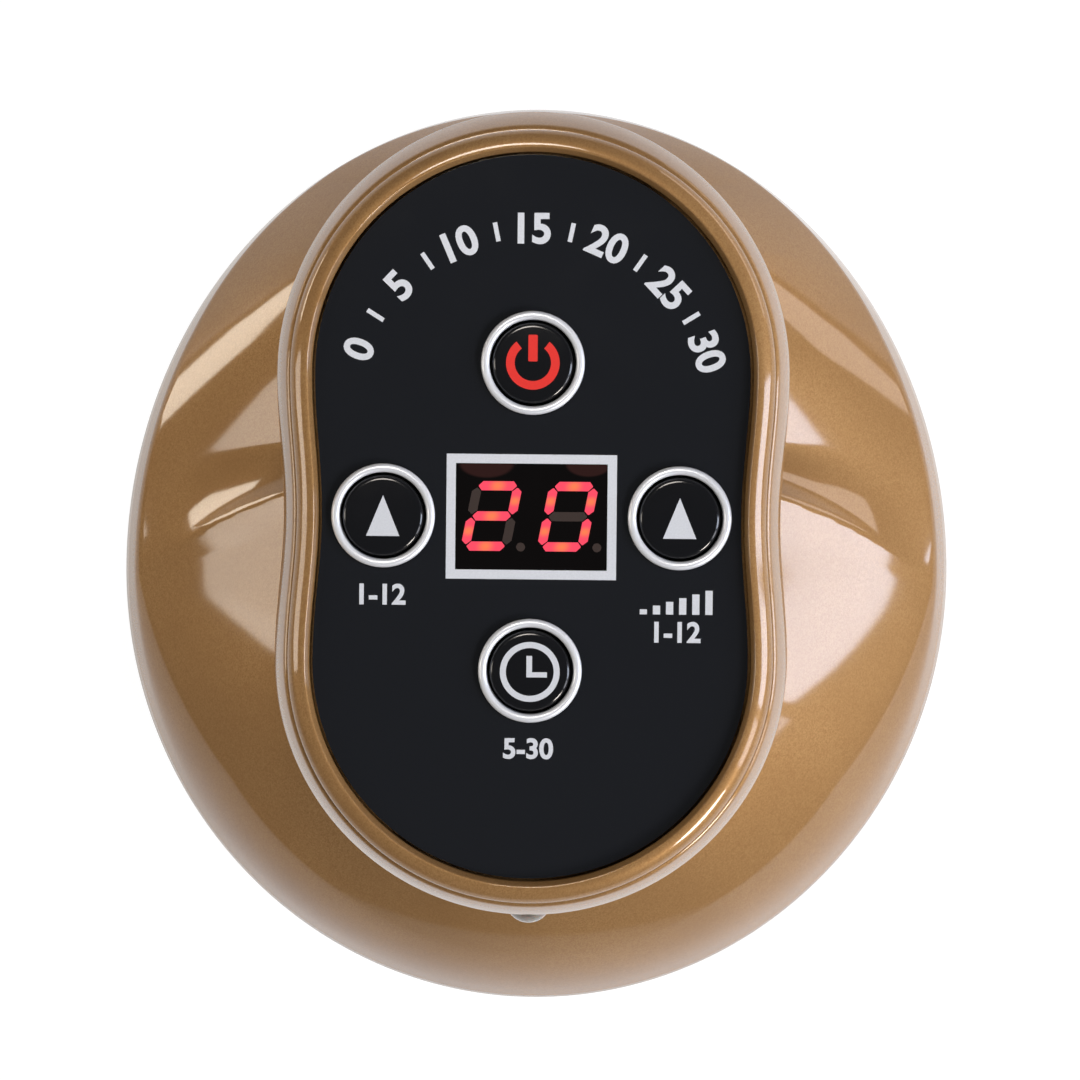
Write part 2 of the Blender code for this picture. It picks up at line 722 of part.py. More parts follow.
def edge_lean():
    """How far the dome's wall leans in at its lower edge."""
    step = math.pi / 2 / TUCK_STEPS
    across = RIM_TUCK * math.sin(step)
    up = RIM_RISE * (1 - math.cos(step))
    return DOME_WALL * up / math.hypot(across, up)


def make_base_plate():
    inset = RIM_TUCK + edge_lean() + GAP
    outline = [egg_point(2 * math.pi * index / DOME_STEPS, inset) for index in range(DOME_STEPS)]
    loops = [outline, circle_loop(0, 0, PORT_STEM_RADIUS + GAP)]
    loops += [circle_loop(x, y, SCREW_RADIUS + GAP, ROUND_SMALL) for x, y in boss_places()]
    loops.append(circle_loop(*lead_hole(), LEAD_RADIUS + GAP, ROUND_SMALL))
    plate = as_mesh(flat("base_plate", loops, BASE_Z, BASE_THICKNESS))
    shade(plate)
    starts = [(x, y, BASE_Z - OVERRUN) for x, y in boss_places()]
    depth = OVERRUN + SCREW_HEAD_HEIGHT + 2 * GAP
    cut(plate, rods("base_counterbores", starts, (0, 0, 1), depth, SCREW_HEAD_RADIUS + GAP))
    as_part(plate, "inner_plastic")
    profile = [(0.0, SCREW_LENGTH), (SCREW_RADIUS, SCREW_LENGTH), (SCREW_RADIUS, SCREW_HEAD_HEIGHT),
               (SCREW_HEAD_RADIUS, SCREW_HEAD_HEIGHT), (SCREW_HEAD_RADIUS, 0.0), (0.0, 0.0)]
    for index, (x, y) in enumerate(boss_places(), start=1):
        as_part(turned(f"base_screw_{index}", profile, (x, y, BASE_Z + GAP), ROUND_SMALL), "screw_steel")


def make_cup():
    """The detachable cup: a plain wall that widens into the lip that lies on the skin."""
    profile = [
        (CUP_INNER, UNDER_BASE),
        (CUP_RADIUS, UNDER_BASE),
        (CUP_RADIUS, CUP_LIP_HEIGHT * 2),
        (CUP_LIP_RADIUS, CUP_LIP_HEIGHT),
        (CUP_LIP_RADIUS, CUP_LIP_HEIGHT / 3),
        (CUP_LIP_RADIUS - CUP_LIP_HEIGHT / 3, 0.0),
        (CUP_INNER + CUP_LIP_HEIGHT / 3, 0.0),
        (CUP_INNER, CUP_LIP_HEIGHT / 3),
    ]
    slide = pivot("cup_pivot", (0, 0, 0))
    as_part(turned("cup", profile, segments=ROUND_LARGE, closed=True), "cup_black", slide)


def make_cup_socket():
    """The ring that the cup pushes onto, with its seal in a groove."""
    low = UNDER_BASE - SOCKET_DEPTH
    middle = UNDER_BASE - SEAL_DROP
    reach = SEAL_RADIUS + GAP
    floor = SOCKET_OUTER - 2 * SEAL_RADIUS - GAP
    profile = [
        (SOCKET_INNER, UNDER_BASE),
        (SOCKET_OUTER, UNDER_BASE),
        (SOCKET_OUTER, middle + reach),
        (floor, middle + reach),
        (floor, middle - reach),
        (SOCKET_OUTER, middle - reach),
        (SOCKET_OUTER, low),
        (SOCKET_INNER, low),
    ]
    as_part(turned("cup_socket_ring", profile, segments=ROUND_LARGE, closed=True), "inner_plastic")
    ring = floor + GAP + SEAL_RADIUS
    seal = [
        (ring + SEAL_RADIUS * math.sin(turn), middle + SEAL_RADIUS * math.cos(turn))
        for turn in (2 * math.pi * index / SEAL_FACETS for index in range(SEAL_FACETS))
    ]
    as_part(turned("cup_seal", seal, segments=ROUND_LARGE, closed=True), "seal_rubber")


def orbit(count, radius, turn=0.0):
    """Places round the middle at equal steps."""
    angles = [turn + 2 * math.pi * index / count for index in range(count)]
    return [(radius * math.cos(angle), radius * math.sin(angle)) for angle in angles]


def make_lamp():
    board_outer = LAMP_LENS_OUTER - LAMP_LENS_WALL - 2 * GAP
    board_inner = LAMP_LENS_INNER + LAMP_LENS_WALL + 2 * GAP
    board_low = UNDER_BASE - LAMP_BOARD_THICKNESS
    board = washer("lamp_board", board_outer, board_inner, board_low, UNDER_BASE)

    def lamps(work):
        height = LAMP_HEIGHT + LAMP_BOARD_THICKNESS / 2
        for x, y in orbit(LAMP_COUNT, (board_outer + board_inner) / 2):
            add_box(work, (x, y, board_low - LAMP_HEIGHT + height / 2), (LAMP_SIDE, LAMP_SIDE, height))

    as_part(fuse(board, mesh_object("lamps", lamps)), "board_green")
    low = UNDER_BASE - LAMP_LENS_DEPTH
    profile = [
        (LAMP_LENS_OUTER - LAMP_LENS_WALL, UNDER_BASE),
        (LAMP_LENS_OUTER, UNDER_BASE),
        (LAMP_LENS_OUTER, low),
        (LAMP_LENS_INNER, low),
        (LAMP_LENS_INNER, UNDER_BASE),
        (LAMP_LENS_INNER + LAMP_LENS_WALL, UNDER_BASE),
        (LAMP_LENS_INNER + LAMP_LENS_WALL, low + LAMP_LENS_WALL),
        (LAMP_LENS_OUTER - LAMP_LENS_WALL, low + LAMP_LENS_WALL),
    ]
    as_part(turned("lamp_lens", profile, segments=ROUND_LARGE, closed=True), "red_lens")


def make_heater():
    """The warm ring, with the massage studs that stand out of its face."""
    low = UNDER_BASE - HEATER_THICKNESS
    ring = washer("heater_ring", HEATER_OUTER, HEATER_INNER, low, UNDER_BASE)
    middle = (HEATER_OUTER + HEATER_INNER) / 2

    def studs(work):
        length = STUD_HEIGHT + HEATER_THICKNESS / 2
        for x, y in orbit(STUD_COUNT, middle, math.pi / STUD_COUNT):
            centre = Matrix.Translation((x, y, low - STUD_HEIGHT + length / 2))
            bmesh.ops.create_cone(
                work,
                cap_ends=True,
                segments=ROUND_SMALL,
                radius1=STUD_TIP_RADIUS,
                radius2=STUD_RADIUS,
                depth=length,
                matrix=centre,
            )

    as_part(fuse(ring, mesh_object("studs", studs)), "heater_aluminium")


def port_levels():
    """The height of the port's side barb and of its stem's top."""
    return BASE_TOP + PORT_BARB_RISE, BASE_TOP + PORT_STEM_HEIGHT


def make_suction_port():
    low = UNDER_BASE - PORT_FLANGE_HEIGHT
    barb_z, top = port_levels()
    profile = [
        (PORT_BORE_RADIUS, top),
        (PORT_STEM_RADIUS, top),
        (PORT_STEM_RADIUS, UNDER_BASE),
        (PORT_FLANGE_RADIUS, UNDER_BASE),
        (PORT_FLANGE_RADIUS, low),
        (PORT_RECESS_RADIUS, low),
        (PORT_RECESS_RADIUS, low + PORT_RECESS_DEPTH),
        (PORT_BORE_RADIUS, low + PORT_RECESS_DEPTH),
    ]
    port = turned("suction_port", profile, closed=True)
    back = (-1, 0, 0)
    root = (PORT_BORE_RADIUS + PORT_STEM_RADIUS) / 2
    start = (-root, 0, barb_z)
    fuse(port, rod("port_barb", start, back, PORT_BARB_REACH - root, PORT_BARB_RADIUS, ROUND_SMALL))
    reach = PORT_BARB_REACH + OVERRUN
    cut(port, rod("barb_bore", (0, 0, barb_z), back, reach, PORT_BARB_BORE, ROUND_SMALL))
    as_part(port, "inner_plastic")
    start = (0, 0, low + PORT_RECESS_DEPTH - GAP - FILTER_THICKNESS)
    disc = rod("port_filter", start, (0, 0, 1), FILTER_THICKNESS, PORT_RECESS_RADIUS - GAP)
    as_part(disc, "silicone")


def pump_levels():
    """Heights of the pump's stack: pad, cap, diaphragm, body, can, end bell."""
    levels = [INSIDE_FLOOR]
    for height in (PUMP_PAD_HEIGHT, PUMP_CAP_HEIGHT, DIAPHRAGM_THICKNESS, PUMP_BODY_HEIGHT, MOTOR_HEIGHT):
        levels.append(levels[-1] + height + GAP)
    return levels


def slab(name, low, height, side=PUMP_SIDE):
    """A square layer of the pump's stack."""
    return box(name, (0, PUMP_Y, low + height / 2), (side, side, height))


def nozzle_height():
    return pump_levels()[1] + PUMP_CAP_HEIGHT / 2


def make_pump():
    pad, cap, diaphragm, body, _, _ = pump_levels()
    as_part(slab("pump_pad", pad, PUMP_PAD_HEIGHT), "seal_rubber")
    lower = slab("pump_cap", cap, PUMP_CAP_HEIGHT)
    for label, axis in (("inlet", (1, 0, 0)), ("outlet", (0, 1, 0))):
        start = Vector((0, PUMP_Y, nozzle_height())) + Vector(axis) * (PUMP_SIDE / 4)
        length = PUMP_SIDE / 4 + PUMP_NOZZLE_LENGTH
        fuse(lower, rod(f"{label}_nozzle", start, axis, length, PUMP_NOZZLE_RADIUS, ROUND_SMALL))
        cut(lower, rod(f"{label}_bore", start, axis, length + OVERRUN, PUMP_NOZZLE_BORE, ROUND_SMALL))
    as_part(lower, "inner_plastic")
    skin_layer = slab("pump_diaphragm", diaphragm, DIAPHRAGM_THICKNESS)
    seat = diaphragm + DIAPHRAGM_THICKNESS / 2
    cups = [(x, y + PUMP_Y, seat) for x, y in orbit(DIAPHRAGM_CUP_COUNT, DIAPHRAGM_CUP_ORBIT)]
    height = DIAPHRAGM_THICKNESS / 2 + DIAPHRAGM_CUP_HEIGHT
    fuse(skin_layer, rods("diaphragm_cups", cups, (0, 0, 1), height, DIAPHRAGM_CUP_RADIUS, ROUND_SMALL))
    as_part(skin_layer, "seal_rubber")
    upper = slab("pump_body", body, PUMP_BODY_HEIGHT)
    cavity = PUMP_BODY_HEIGHT - PUMP_BODY_ROOF + OVERRUN
    cut(upper, rod("pump_cavity", (0, PUMP_Y, body - OVERRUN), (0, 0, 1), cavity, PUMP_CAVITY_RADIUS))
    passage = PUMP_BODY_HEIGHT + 2 * OVERRUN
    start = (0, PUMP_Y, body - OVERRUN)
    cut(upper, rod("pump_shaft_hole", start, (0, 0, 1), passage, SHAFT_RADIUS + SHAFT_CLEARANCE, ROUND_SMALL))
    as_part(upper, "inner_plastic")
    make_yoke()


def yoke_levels():
    """Heights of the yoke's underside and of its hub's top."""
    low = pump_levels()[2] + DIAPHRAGM_THICKNESS + DIAPHRAGM_CUP_HEIGHT + GAP
    return low, low + YOKE_HUB_HEIGHT


def make_yoke():
    """The plate on the diaphragm's cups, whose hub takes the crank's pin."""
    low, top = yoke_levels()
    profile = [
        (0.0, top - YOKE_RECESS_DEPTH),
        (YOKE_RECESS_RADIUS, top - YOKE_RECESS_DEPTH),
        (YOKE_RECESS_RADIUS, top),
        (YOKE_HUB_RADIUS, top),
        (YOKE_HUB_RADIUS, low + YOKE_THICKNESS),
        (YOKE_RADIUS, low + YOKE_THICKNESS),
        (YOKE_RADIUS, low),
        (0.0, low),
    ]
    as_part(turned("pump_yoke", profile, (0, PUMP_Y, 0)), "inner_plastic")


def make_motor():
    can, endbell = pump_levels()[4:6]
    hole = SHAFT_RADIUS + SHAFT_CLEARANCE
    inner = MOTOR_RADIUS - MOTOR_WALL
    top = can + MOTOR_HEIGHT
    place = (0, PUMP_Y, 0)
    profile = [(inner, top), (MOTOR_RADIUS, top), (MOTOR_RADIUS, can), (hole, can),
               (hole, can + MOTOR_WALL), (inner, can + MOTOR_WALL)]
    as_part(turned("motor_can", profile, place, ROUND_MEDIUM, closed=True), "screw_steel")
    low = can + (MOTOR_HEIGHT - MAGNET_HEIGHT) / 2
    outer = inner - GAP
    magnet = [(outer - MAGNET_THICKNESS, low + MAGNET_HEIGHT), (outer, low + MAGNET_HEIGHT),
              (outer, low), (outer - MAGNET_THICKNESS, low)]
    as_part(turned("motor_magnet", magnet, place, ROUND_MEDIUM, closed=True), "inner_plastic")
    make_endbell(endbell, hole)
    make_rotor(can, endbell)


def make_endbell(low, hole):
    top = low + ENDBELL_HEIGHT
    profile = [(hole, top), (MOTOR_RADIUS, top), (MOTOR_RADIUS, low), (hole, low)]
    bell = turned("motor_endbell", profile, (0, PUMP_Y, 0), ROUND_MEDIUM, closed=True)

    def terminals(work):
        height = TERMINAL_HEIGHT + ENDBELL_HEIGHT / 2
        for side in (-1, 1):
            centre = (side * TERMINAL_SPACING / 2, PUMP_Y, top - ENDBELL_HEIGHT / 2 + height / 2)
            add_box(work, centre, (TERMINAL_SIDE, TERMINAL_SIDE, height))

    fuse(bell, mesh_object("endbell_terminals", terminals))
    as_part(bell, "inner_plastic")


def make_rotor(can, endbell):
    """Shaft, armature and crank as one turned piece, with the crank's pin off its axis."""
    crank_low = yoke_levels()[1] + GAP
    armature_low = can + (MOTOR_HEIGHT - ARMATURE_HEIGHT) / 2
    top = endbell + ENDBELL_HEIGHT * 0.8
    profile = [
        (0.0, top),
        (SHAFT_RADIUS, top),
        (SHAFT_RADIUS, armature_low + ARMATURE_HEIGHT),
        (ARMATURE_RADIUS, armature_low + ARMATURE_HEIGHT),
        (ARMATURE_RADIUS, armature_low),
        (SHAFT_RADIUS, armature_low),
        (SHAFT_RADIUS, crank_low + CRANK_HEIGHT),
        (CRANK_RADIUS, crank_low + CRANK_HEIGHT),
        (CRANK_RADIUS, crank_low),
        (0.0, crank_low),
    ]
    spin = pivot("rotor_pivot", (0, PUMP_Y, can))
    rotor = turned("motor_rotor", profile, (0, PUMP_Y, 0))
    length = CRANK_PIN_REACH + CRANK_HEIGHT / 2
    start = (CRANK_PIN_OFFSET, PUMP_Y, crank_low - CRANK_PIN_REACH)
    fuse(rotor, rod("crank_pin", start, (0, 0, 1), length, CRANK_PIN_RADIUS, ROUND_SMALL))
    as_part(rotor, "screw_steel", spin)


def valve_levels():
    """Heights of the bore's floor, the plunger's top and the cap's underside."""
    floor = INSIDE_FLOOR + VALVE_FLOOR
    plunger_top = floor + PLUNGER_SEAT_LIFT + PLUNGER_HEIGHT
    return floor, plunger_top, INSIDE_FLOOR + VALVE_HEIGHT + GAP


def make_valve():
    floor, plunger_top, cap_low = valve_levels()
    centre = (VALVE_X, VALVE_Y, INSIDE_FLOOR + VALVE_HEIGHT / 2)
    body = box("valve_body", centre, (VALVE_SIDE, VALVE_SIDE, VALVE_HEIGHT))
    nozzle_z = port_levels()[0]
    toward = (0, -1, 0)
    length = VALVE_SIDE / 2 + VALVE_NOZZLE_LENGTH - VALVE_BORE_RADIUS
    start = (VALVE_X, VALVE_Y - VALVE_BORE_RADIUS, nozzle_z)
    fuse(body, rod("valve_nozzle", start, toward, length, PORT_BARB_RADIUS, ROUND_SMALL))
    depth = VALVE_HEIGHT - VALVE_FLOOR + OVERRUN
    cut(body, rod("valve_bore", (VALVE_X, VALVE_Y, floor), (0, 0, 1), depth, VALVE_BORE_RADIUS))
    inlet = (VALVE_X, VALVE_Y, nozzle_z)
    cut(body, rod("valve_inlet", inlet, toward, VALVE_SIDE + OVERRUN, PORT_BARB_BORE, ROUND_SMALL))
    as_part(body, "inner_plastic")
    cap_centre = (VALVE_X, VALVE_Y, cap_low + VALVE_CAP_HEIGHT / 2)
    as_part(box("valve_cap", cap_centre, (VALVE_SIDE, VALVE_SIDE, VALVE_CAP_HEIGHT)), "screw_steel")
    slide = pivot("valve_pivot", (VALVE_X, VALVE_Y, floor + PLUNGER_SEAT_LIFT))
    radius = VALVE_BORE_RADIUS - PLUNGER_CLEARANCE
    start = (VALVE_X, VALVE_Y, floor + PLUNGER_SEAT_LIFT)
    plunger = rod("valve_plunger", start, (0, 0, 1), PLUNGER_HEIGHT, radius)
    as_part(plunger, "screw_steel", slide)
    make_valve_spring(plunger_top + GAP, cap_low - GAP)


def make_valve_spring(low, high):
    count = SPRING_TURN_COUNT * SPRING_TURN_STEPS
    start = low + SPRING_WIRE_RADIUS
    rise = high - low - 2 * SPRING_WIRE_RADIUS
    curve = bpy.data.curves.new("valve_spring", "CURVE")
    curve.dimensions = "3D"
    curve.bevel_depth = SPRING_WIRE_RADIUS
    curve.bevel_resolution = 1
    curve.use_fill_caps = True
    spline = curve.splines.new("POLY")
    spline.points.add(count)
    for index, point in enumerate(spline.points):
        angle = 2 * math.pi * index / SPRING_TURN_STEPS
        x = VALVE_X + SPRING_RADIUS * math.cos(angle)
        y = VALVE_Y + SPRING_RADIUS * math.sin(angle)
        point.co = (x, y, start + rise * index / count, 1.0)
    as_part(bpy.data.objects.new("valve_spring", curve), "screw_steel")


def make_tubes():
    """From the port to the pump's inlet, and from the port's barb to the release valve."""
    barb_z, stem_top = port_levels()
    nozzle_z = nozzle_height()
    low = stem_top + GAP
    tip = PUMP_SIDE / 2 + PUMP_NOZZLE_LENGTH + GAP
    bend = 2 * TUBE_RADIUS
    route = [
        (0, 0, low),
        (0, 0, low + bend * 0.5),
        (bend * 0.4, 0, low + bend * 1.3),
        (tip * 0.6, -bend * 0.3, low + bend * 1.6),
        (tip + bend * 0.6, bend * 0.4, low + bend * 0.9),
        (tip + bend * 1.5, PUMP_Y * 0.5, (low + nozzle_z) / 2),
        (tip + bend * 1.3, PUMP_Y * 0.9, nozzle_z),
        (tip + bend * 0.5, PUMP_Y, nozzle_z),
        (tip, PUMP_Y, nozzle_z),
    ]
    as_part(tube("suction_tube", route, TUBE_RADIUS, TUBE_STEPS * 2), "silicone")
    start = PORT_BARB_REACH + GAP
    end = VALVE_Y - VALVE_SIDE / 2 - VALVE_NOZZLE_LENGTH - GAP
    route = [
        (-start, 0, barb_z),
        (-start - TUBE_VENT_RADIUS, 0, barb_z),
        (VALVE_X + TUBE_VENT_RADIUS * 0.7, end * 0.1, barb_z),
        (VALVE_X, end - TUBE_VENT_RADIUS * 0.7, barb_z),
        (VALVE_X, end, barb_z),
    ]
    as_part(tube("vent_tube", route, TUBE_VENT_RADIUS, TUBE_STEPS), "silicone")


def make_battery():
    cell = (0, BATTERY_BACK_Y - BATTERY_LENGTH / 2, INSIDE_FLOOR + BATTERY_HEIGHT / 2)
    pack = box("battery_pack", cell, (BATTERY_WIDTH, BATTERY_LENGTH, BATTERY_HEIGHT), BATTERY_ROUNDING)
    as_part(pack, "battery_wrap")


def tray_radius(height):
    """The outer radius of the neck and head tray at a height."""
    low = COLLAR_Z + GAP
    share = min(max((height - low) / (TRAY_LIP_Z - low), 0.0), 1.0)
    return NECK_RADIUS + (HEAD_RADIUS - NECK_RADIUS) * share**TRAY_FLARE_SHARE


def tray_profile():
    """The tray's section as (outline radius, height), going up outside and down inside."""
    low = COLLAR_Z + GAP
    plug_low = COLLAR_Z - TRAY_PLUG_DEPTH
    heights = [low + (TRAY_LIP_Z - low) * index / TRAY_FLARE_STEPS for index in range(TRAY_FLARE_STEPS + 1)]
    inside_top = TRAY_SHOULDER_Z
    inner_heights = [inside_top + (TRAY_FLOOR_TOP - inside_top) * index / 5 for index in range(6)]
    lip = HEAD_RADIUS - TRAY_LIP_WIDTH
    outer = [(PLUG_RADIUS, plug_low), (PLUG_RADIUS, low)]
    outer += [(tray_radius(height), height) for height in heights]
    outer += [(HEAD_RADIUS - TRAY_LIP_DRAFT, TRAY_TOP), (lip, TRAY_TOP), (lip, TRAY_SHOULDER_Z)]
    inner = [(tray_radius(height) - TRAY_WALL, height) for height in inner_heights]
    inner[0] = (lip - TRAY_SHOULDER_WIDTH, inside_top)
    inner += [
        (TRAY_HOLE_RADIUS, TRAY_FLOOR_TOP),
        (TRAY_HOLE_RADIUS, low),
        (PLUG_RADIUS - DOME_WALL, low - GAP),
        (PLUG_RADIUS - DOME_WALL, plug_low),
    ]
    return outer + inner


def lobed_ring(name, profile):
    """A closed ring that follows the head's outline, from a section of (radius, height)."""
    rings = [[(x, y, height) for x, y in lobed_loop(radius)] for radius, height in profile]
    return mesh_object(name, lambda work: skin(work, rings, around=True))


def post_places():
    """The board's posts, near the corners of the two lobes."""
    step = POST_ORBIT / math.sqrt(2)
    corners = [(across, along) for along in (1, -1) for across in (1, -1)]
    return [(across * step, HEAD_SHIFT + along * (LOBE_Y + step)) for across, along in corners]


def socket_box():
    """Low height, and back and front ends, of the charging socket under the board."""
    low = BOARD_UNDER - GAP - SOCKET_MOUTH_HEIGHT
    wall = HEAD_SHIFT + LOBE_Y + tray_radius(low)
    back = wall - SOCKET_SETBACK
    return low, back - SOCKET_LENGTH, back


def indicator_height():
    return PANEL_TOP - INDICATOR_DROP


def make_head_tray():
    tray = lobed_ring("head_tray", tray_profile())
    low = TRAY_FLOOR_TOP - TRAY_FLOOR_THICKNESS / 2
    top = BOARD_UNDER - GAP
    up = (0, 0, 1)
    fuse(tray, rods("tray_posts", [(x, y, low) for x, y in post_places()], up, top - low, POST_RADIUS))
    pins = [(x, y, top - POST_RADIUS) for x, y in post_places()]
    length = POST_RADIUS + GAP + BOARD_THICKNESS + POST_PIN_SHOWS
    fuse(tray, rods("post_pins", pins, up, length, POST_PIN_RADIUS, ROUND_SMALL))
    socket_low, front, back = socket_box()
    middle = (0, (front + back) / 2 + OVERRUN, socket_low + SOCKET_MOUTH_HEIGHT / 2)
    size = (SOCKET_MOUTH_WIDTH + 2 * GAP, SOCKET_LENGTH + 2 * OVERRUN, SOCKET_MOUTH_HEIGHT + 2 * GAP)
    cut(tray, box("socket_slot", middle, size))
    start = (0, HEAD_SHIFT - LOBE_Y, indicator_height())
    reach = HEAD_RADIUS + OVERRUN
    cut(tray, rod("indicator_hole", start, (0, -1, 0), reach, INDICATOR_RADIUS + GAP))
    as_part(tray, "gold_paint")


def make_bezel():
    low = TRAY_SHOULDER_Z + GAP
    inner = PANEL_RADIUS + GAP
    ledge_top = PANEL_UNDER - GAP
    flange_low = TRAY_TOP + GAP
    foot = flange_low + BEZEL_FLANGE_HEIGHT
    brim = BEZEL_OUTER + BEZEL_FLANGE_WIDTH
    crest = PANEL_TOP + BEZEL_CREST_RISE
    crest_radius = inner + BEZEL_CREST_WIDTH
    profile = [(BEZEL_OUTER, low), (BEZEL_OUTER, flange_low), (brim, flange_low)]
    for index in range(BEZEL_SLOPE_STEPS + 1):
        turn = math.pi / 2 * index / BEZEL_SLOPE_STEPS
        radius = crest_radius + (brim - crest_radius) * math.cos(turn)
        profile.append((radius, foot + (crest - foot) * math.sin(turn)))
    profile += [
        (inner, PANEL_TOP + BEZEL_INNER_RISE),
        (inner, ledge_top),
        (inner - LEDGE_WIDTH, ledge_top),
        (inner - LEDGE_WIDTH, ledge_top - LEDGE_THICKNESS),
        (BEZEL_OUTER - BEZEL_WALL, ledge_top - LEDGE_THICKNESS),
        (BEZEL_OUTER - BEZEL_WALL, low),
    ]
    as_part(lobed_ring("head_bezel", profile), "gold_paint")


def make_panel():
    loops = [lobed_loop(PANEL_RADIUS)]
    loops += [circle_loop(x, y, RING_HOLE_RADIUS) for x, y in KEY_PLACES.values()]
    loops.append(rectangle_loop(0, HEAD_SHIFT, WINDOW_WIDTH + 2 * GAP, WINDOW_LENGTH + 2 * GAP))
    as_part(flat("control_panel", loops, PANEL_UNDER, PANEL_THICKNESS), "black_acrylic")
    centre = (0, HEAD_SHIFT, PANEL_UNDER + PANEL_THICKNESS / 2)
    as_part(box("display_window", centre, (WINDOW_WIDTH, WINDOW_LENGTH, PANEL_THICKNESS)), "smoked_window")
    centre = (0, HEAD_SHIFT, ON_BOARD + DISPLAY_HEIGHT / 2)
    size = (WINDOW_WIDTH, WINDOW_LENGTH, DISPLAY_HEIGHT)
    as_part(box("led_display", centre, size), "display_black")


def make_ring(label, x, y):
    low = PANEL_UNDER - RING_SLEEVE_BELOW
    face = PANEL_TOP + GAP
    top = face + RING_FACE_HEIGHT
    profile = [
        (RING_INNER_RADIUS, top - RING_FACE_HEIGHT / 2),
        (RING_INNER_RADIUS + RING_FACE_HEIGHT / 2, top),
        (RING_OUTER_RADIUS - RING_FACE_HEIGHT / 2, top),
        (RING_OUTER_RADIUS, top - RING_FACE_HEIGHT / 2),
        (RING_OUTER_RADIUS, face),
        (RING_SLEEVE_RADIUS, face),
        (RING_SLEEVE_RADIUS, low),
        (RING_INNER_RADIUS, low),
    ]
    as_part(turned(f"{label}_ring", profile, (x, y, 0), closed=True), "chrome_trim")


def make_key(label, x, y):
    """The key and, under its stem, the plunger of its switch, both on the key's slide."""
    switch_top = ON_BOARD + SWITCH_HEIGHT
    plunger_top = switch_top + SWITCH_PLUNGER_SHOWS
    stem_low = plunger_top + GAP
    flange_top = PANEL_UNDER - RING_SLEEVE_BELOW - GAP
    flange_low = flange_top - KEY_FLANGE_HEIGHT
    top = PANEL_TOP + KEY_STANDOUT
    profile = [
        (0.0, top),
        (KEY_RADIUS * 0.8, top - KEY_CROWN * 0.25),
        (KEY_RADIUS, top - KEY_CROWN),
        (KEY_RADIUS, flange_top),
        (KEY_RADIUS + KEY_FLANGE_WIDTH, flange_top),
        (KEY_RADIUS + KEY_FLANGE_WIDTH, flange_low),
        (KEY_STEM_RADIUS, flange_low),
        (KEY_STEM_RADIUS, stem_low),
        (0.0, stem_low),
    ]
    slide = pivot(f"{label}_pivot", (x, y, flange_top))
    as_part(turned(f"{label}_key", profile, (x, y, 0)), "key_black", slide)
    start = (x, y, switch_top - SWITCH_PLUNGER_SINKS)
    length = SWITCH_PLUNGER_SINKS + SWITCH_PLUNGER_SHOWS
    plunger = rod(f"{label}_plunger", start, (0, 0, 1), length, SWITCH_PLUNGER_RADIUS, ROUND_SMALL)
    as_part(plunger, "key_black", slide)


def make_keys():
    depth = SWITCH_PLUNGER_SINKS + KEY_TRAVEL + GAP
    well = SWITCH_PLUNGER_RADIUS + GAP
    for label, (x, y) in KEY_PLACES.items():
        make_ring(label, x, y)
        make_key(label, x, y)
        centre = (x, y, ON_BOARD + SWITCH_HEIGHT / 2)
        switch = box(f"{label}_switch", centre, (SWITCH_SIDE, SWITCH_SIDE, SWITCH_HEIGHT))
        start = (x, y, ON_BOARD + SWITCH_HEIGHT - depth)
        cut(switch, rod(f"{label}_well", start, (0, 0, 1), depth + OVERRUN, well, ROUND_SMALL))
        as_part(switch, "inner_plastic")


def make_board():
    loops = [lobed_loop(BOARD_RADIUS)]
    loops += [circle_loop(x, y, POST_PIN_RADIUS + GAP, ROUND_SMALL) for x, y in post_places()]
    board = as_mesh(flat("control_board", loops, BOARD_UNDER, BOARD_THICKNESS))
    shade(board)
    seat = BOARD_TOP - BOARD_THICKNESS / 2

    def chips(work):
        height = BOARD_THICKNESS / 2 + CHIP_HEIGHT
        chip = (CHIP_X, HEAD_SHIFT + LOBE_Y + CHIP_BEYOND, seat + height / 2)
        add_box(work, chip, (CHIP_SIDE, CHIP_SIDE, height))
        front = HEAD_SHIFT - LOBE_Y - DRIVER_BEYOND
        add_box(work, (DRIVER_X, front, seat + height / 2), (DRIVER_SIDE, DRIVER_SIDE, height))
        length = BOARD_THICKNESS / 2 + CAPACITOR_HEIGHT
        add_rod(work, (CAPACITOR_X, front, seat), (0, 0, 1), length, CAPACITOR_RADIUS, ROUND_SMALL)

    as_part(fuse(board, mesh_object("chips", chips)), "board_green")
    top = ON_BOARD + BUZZER_HEIGHT
    profile = [(0.0, top - BUZZER_HEIGHT / 2), (BUZZER_HOLE_RADIUS, top - BUZZER_HEIGHT / 2),
               (BUZZER_HOLE_RADIUS, top), (BUZZER_RADIUS, top), (BUZZER_RADIUS, ON_BOARD), (0.0, ON_BOARD)]
    place = (BUZZER_X, HEAD_SHIFT + LOBE_Y + BUZZER_BEYOND, 0)
    as_part(turned("buzzer", profile, place), "inner_plastic")


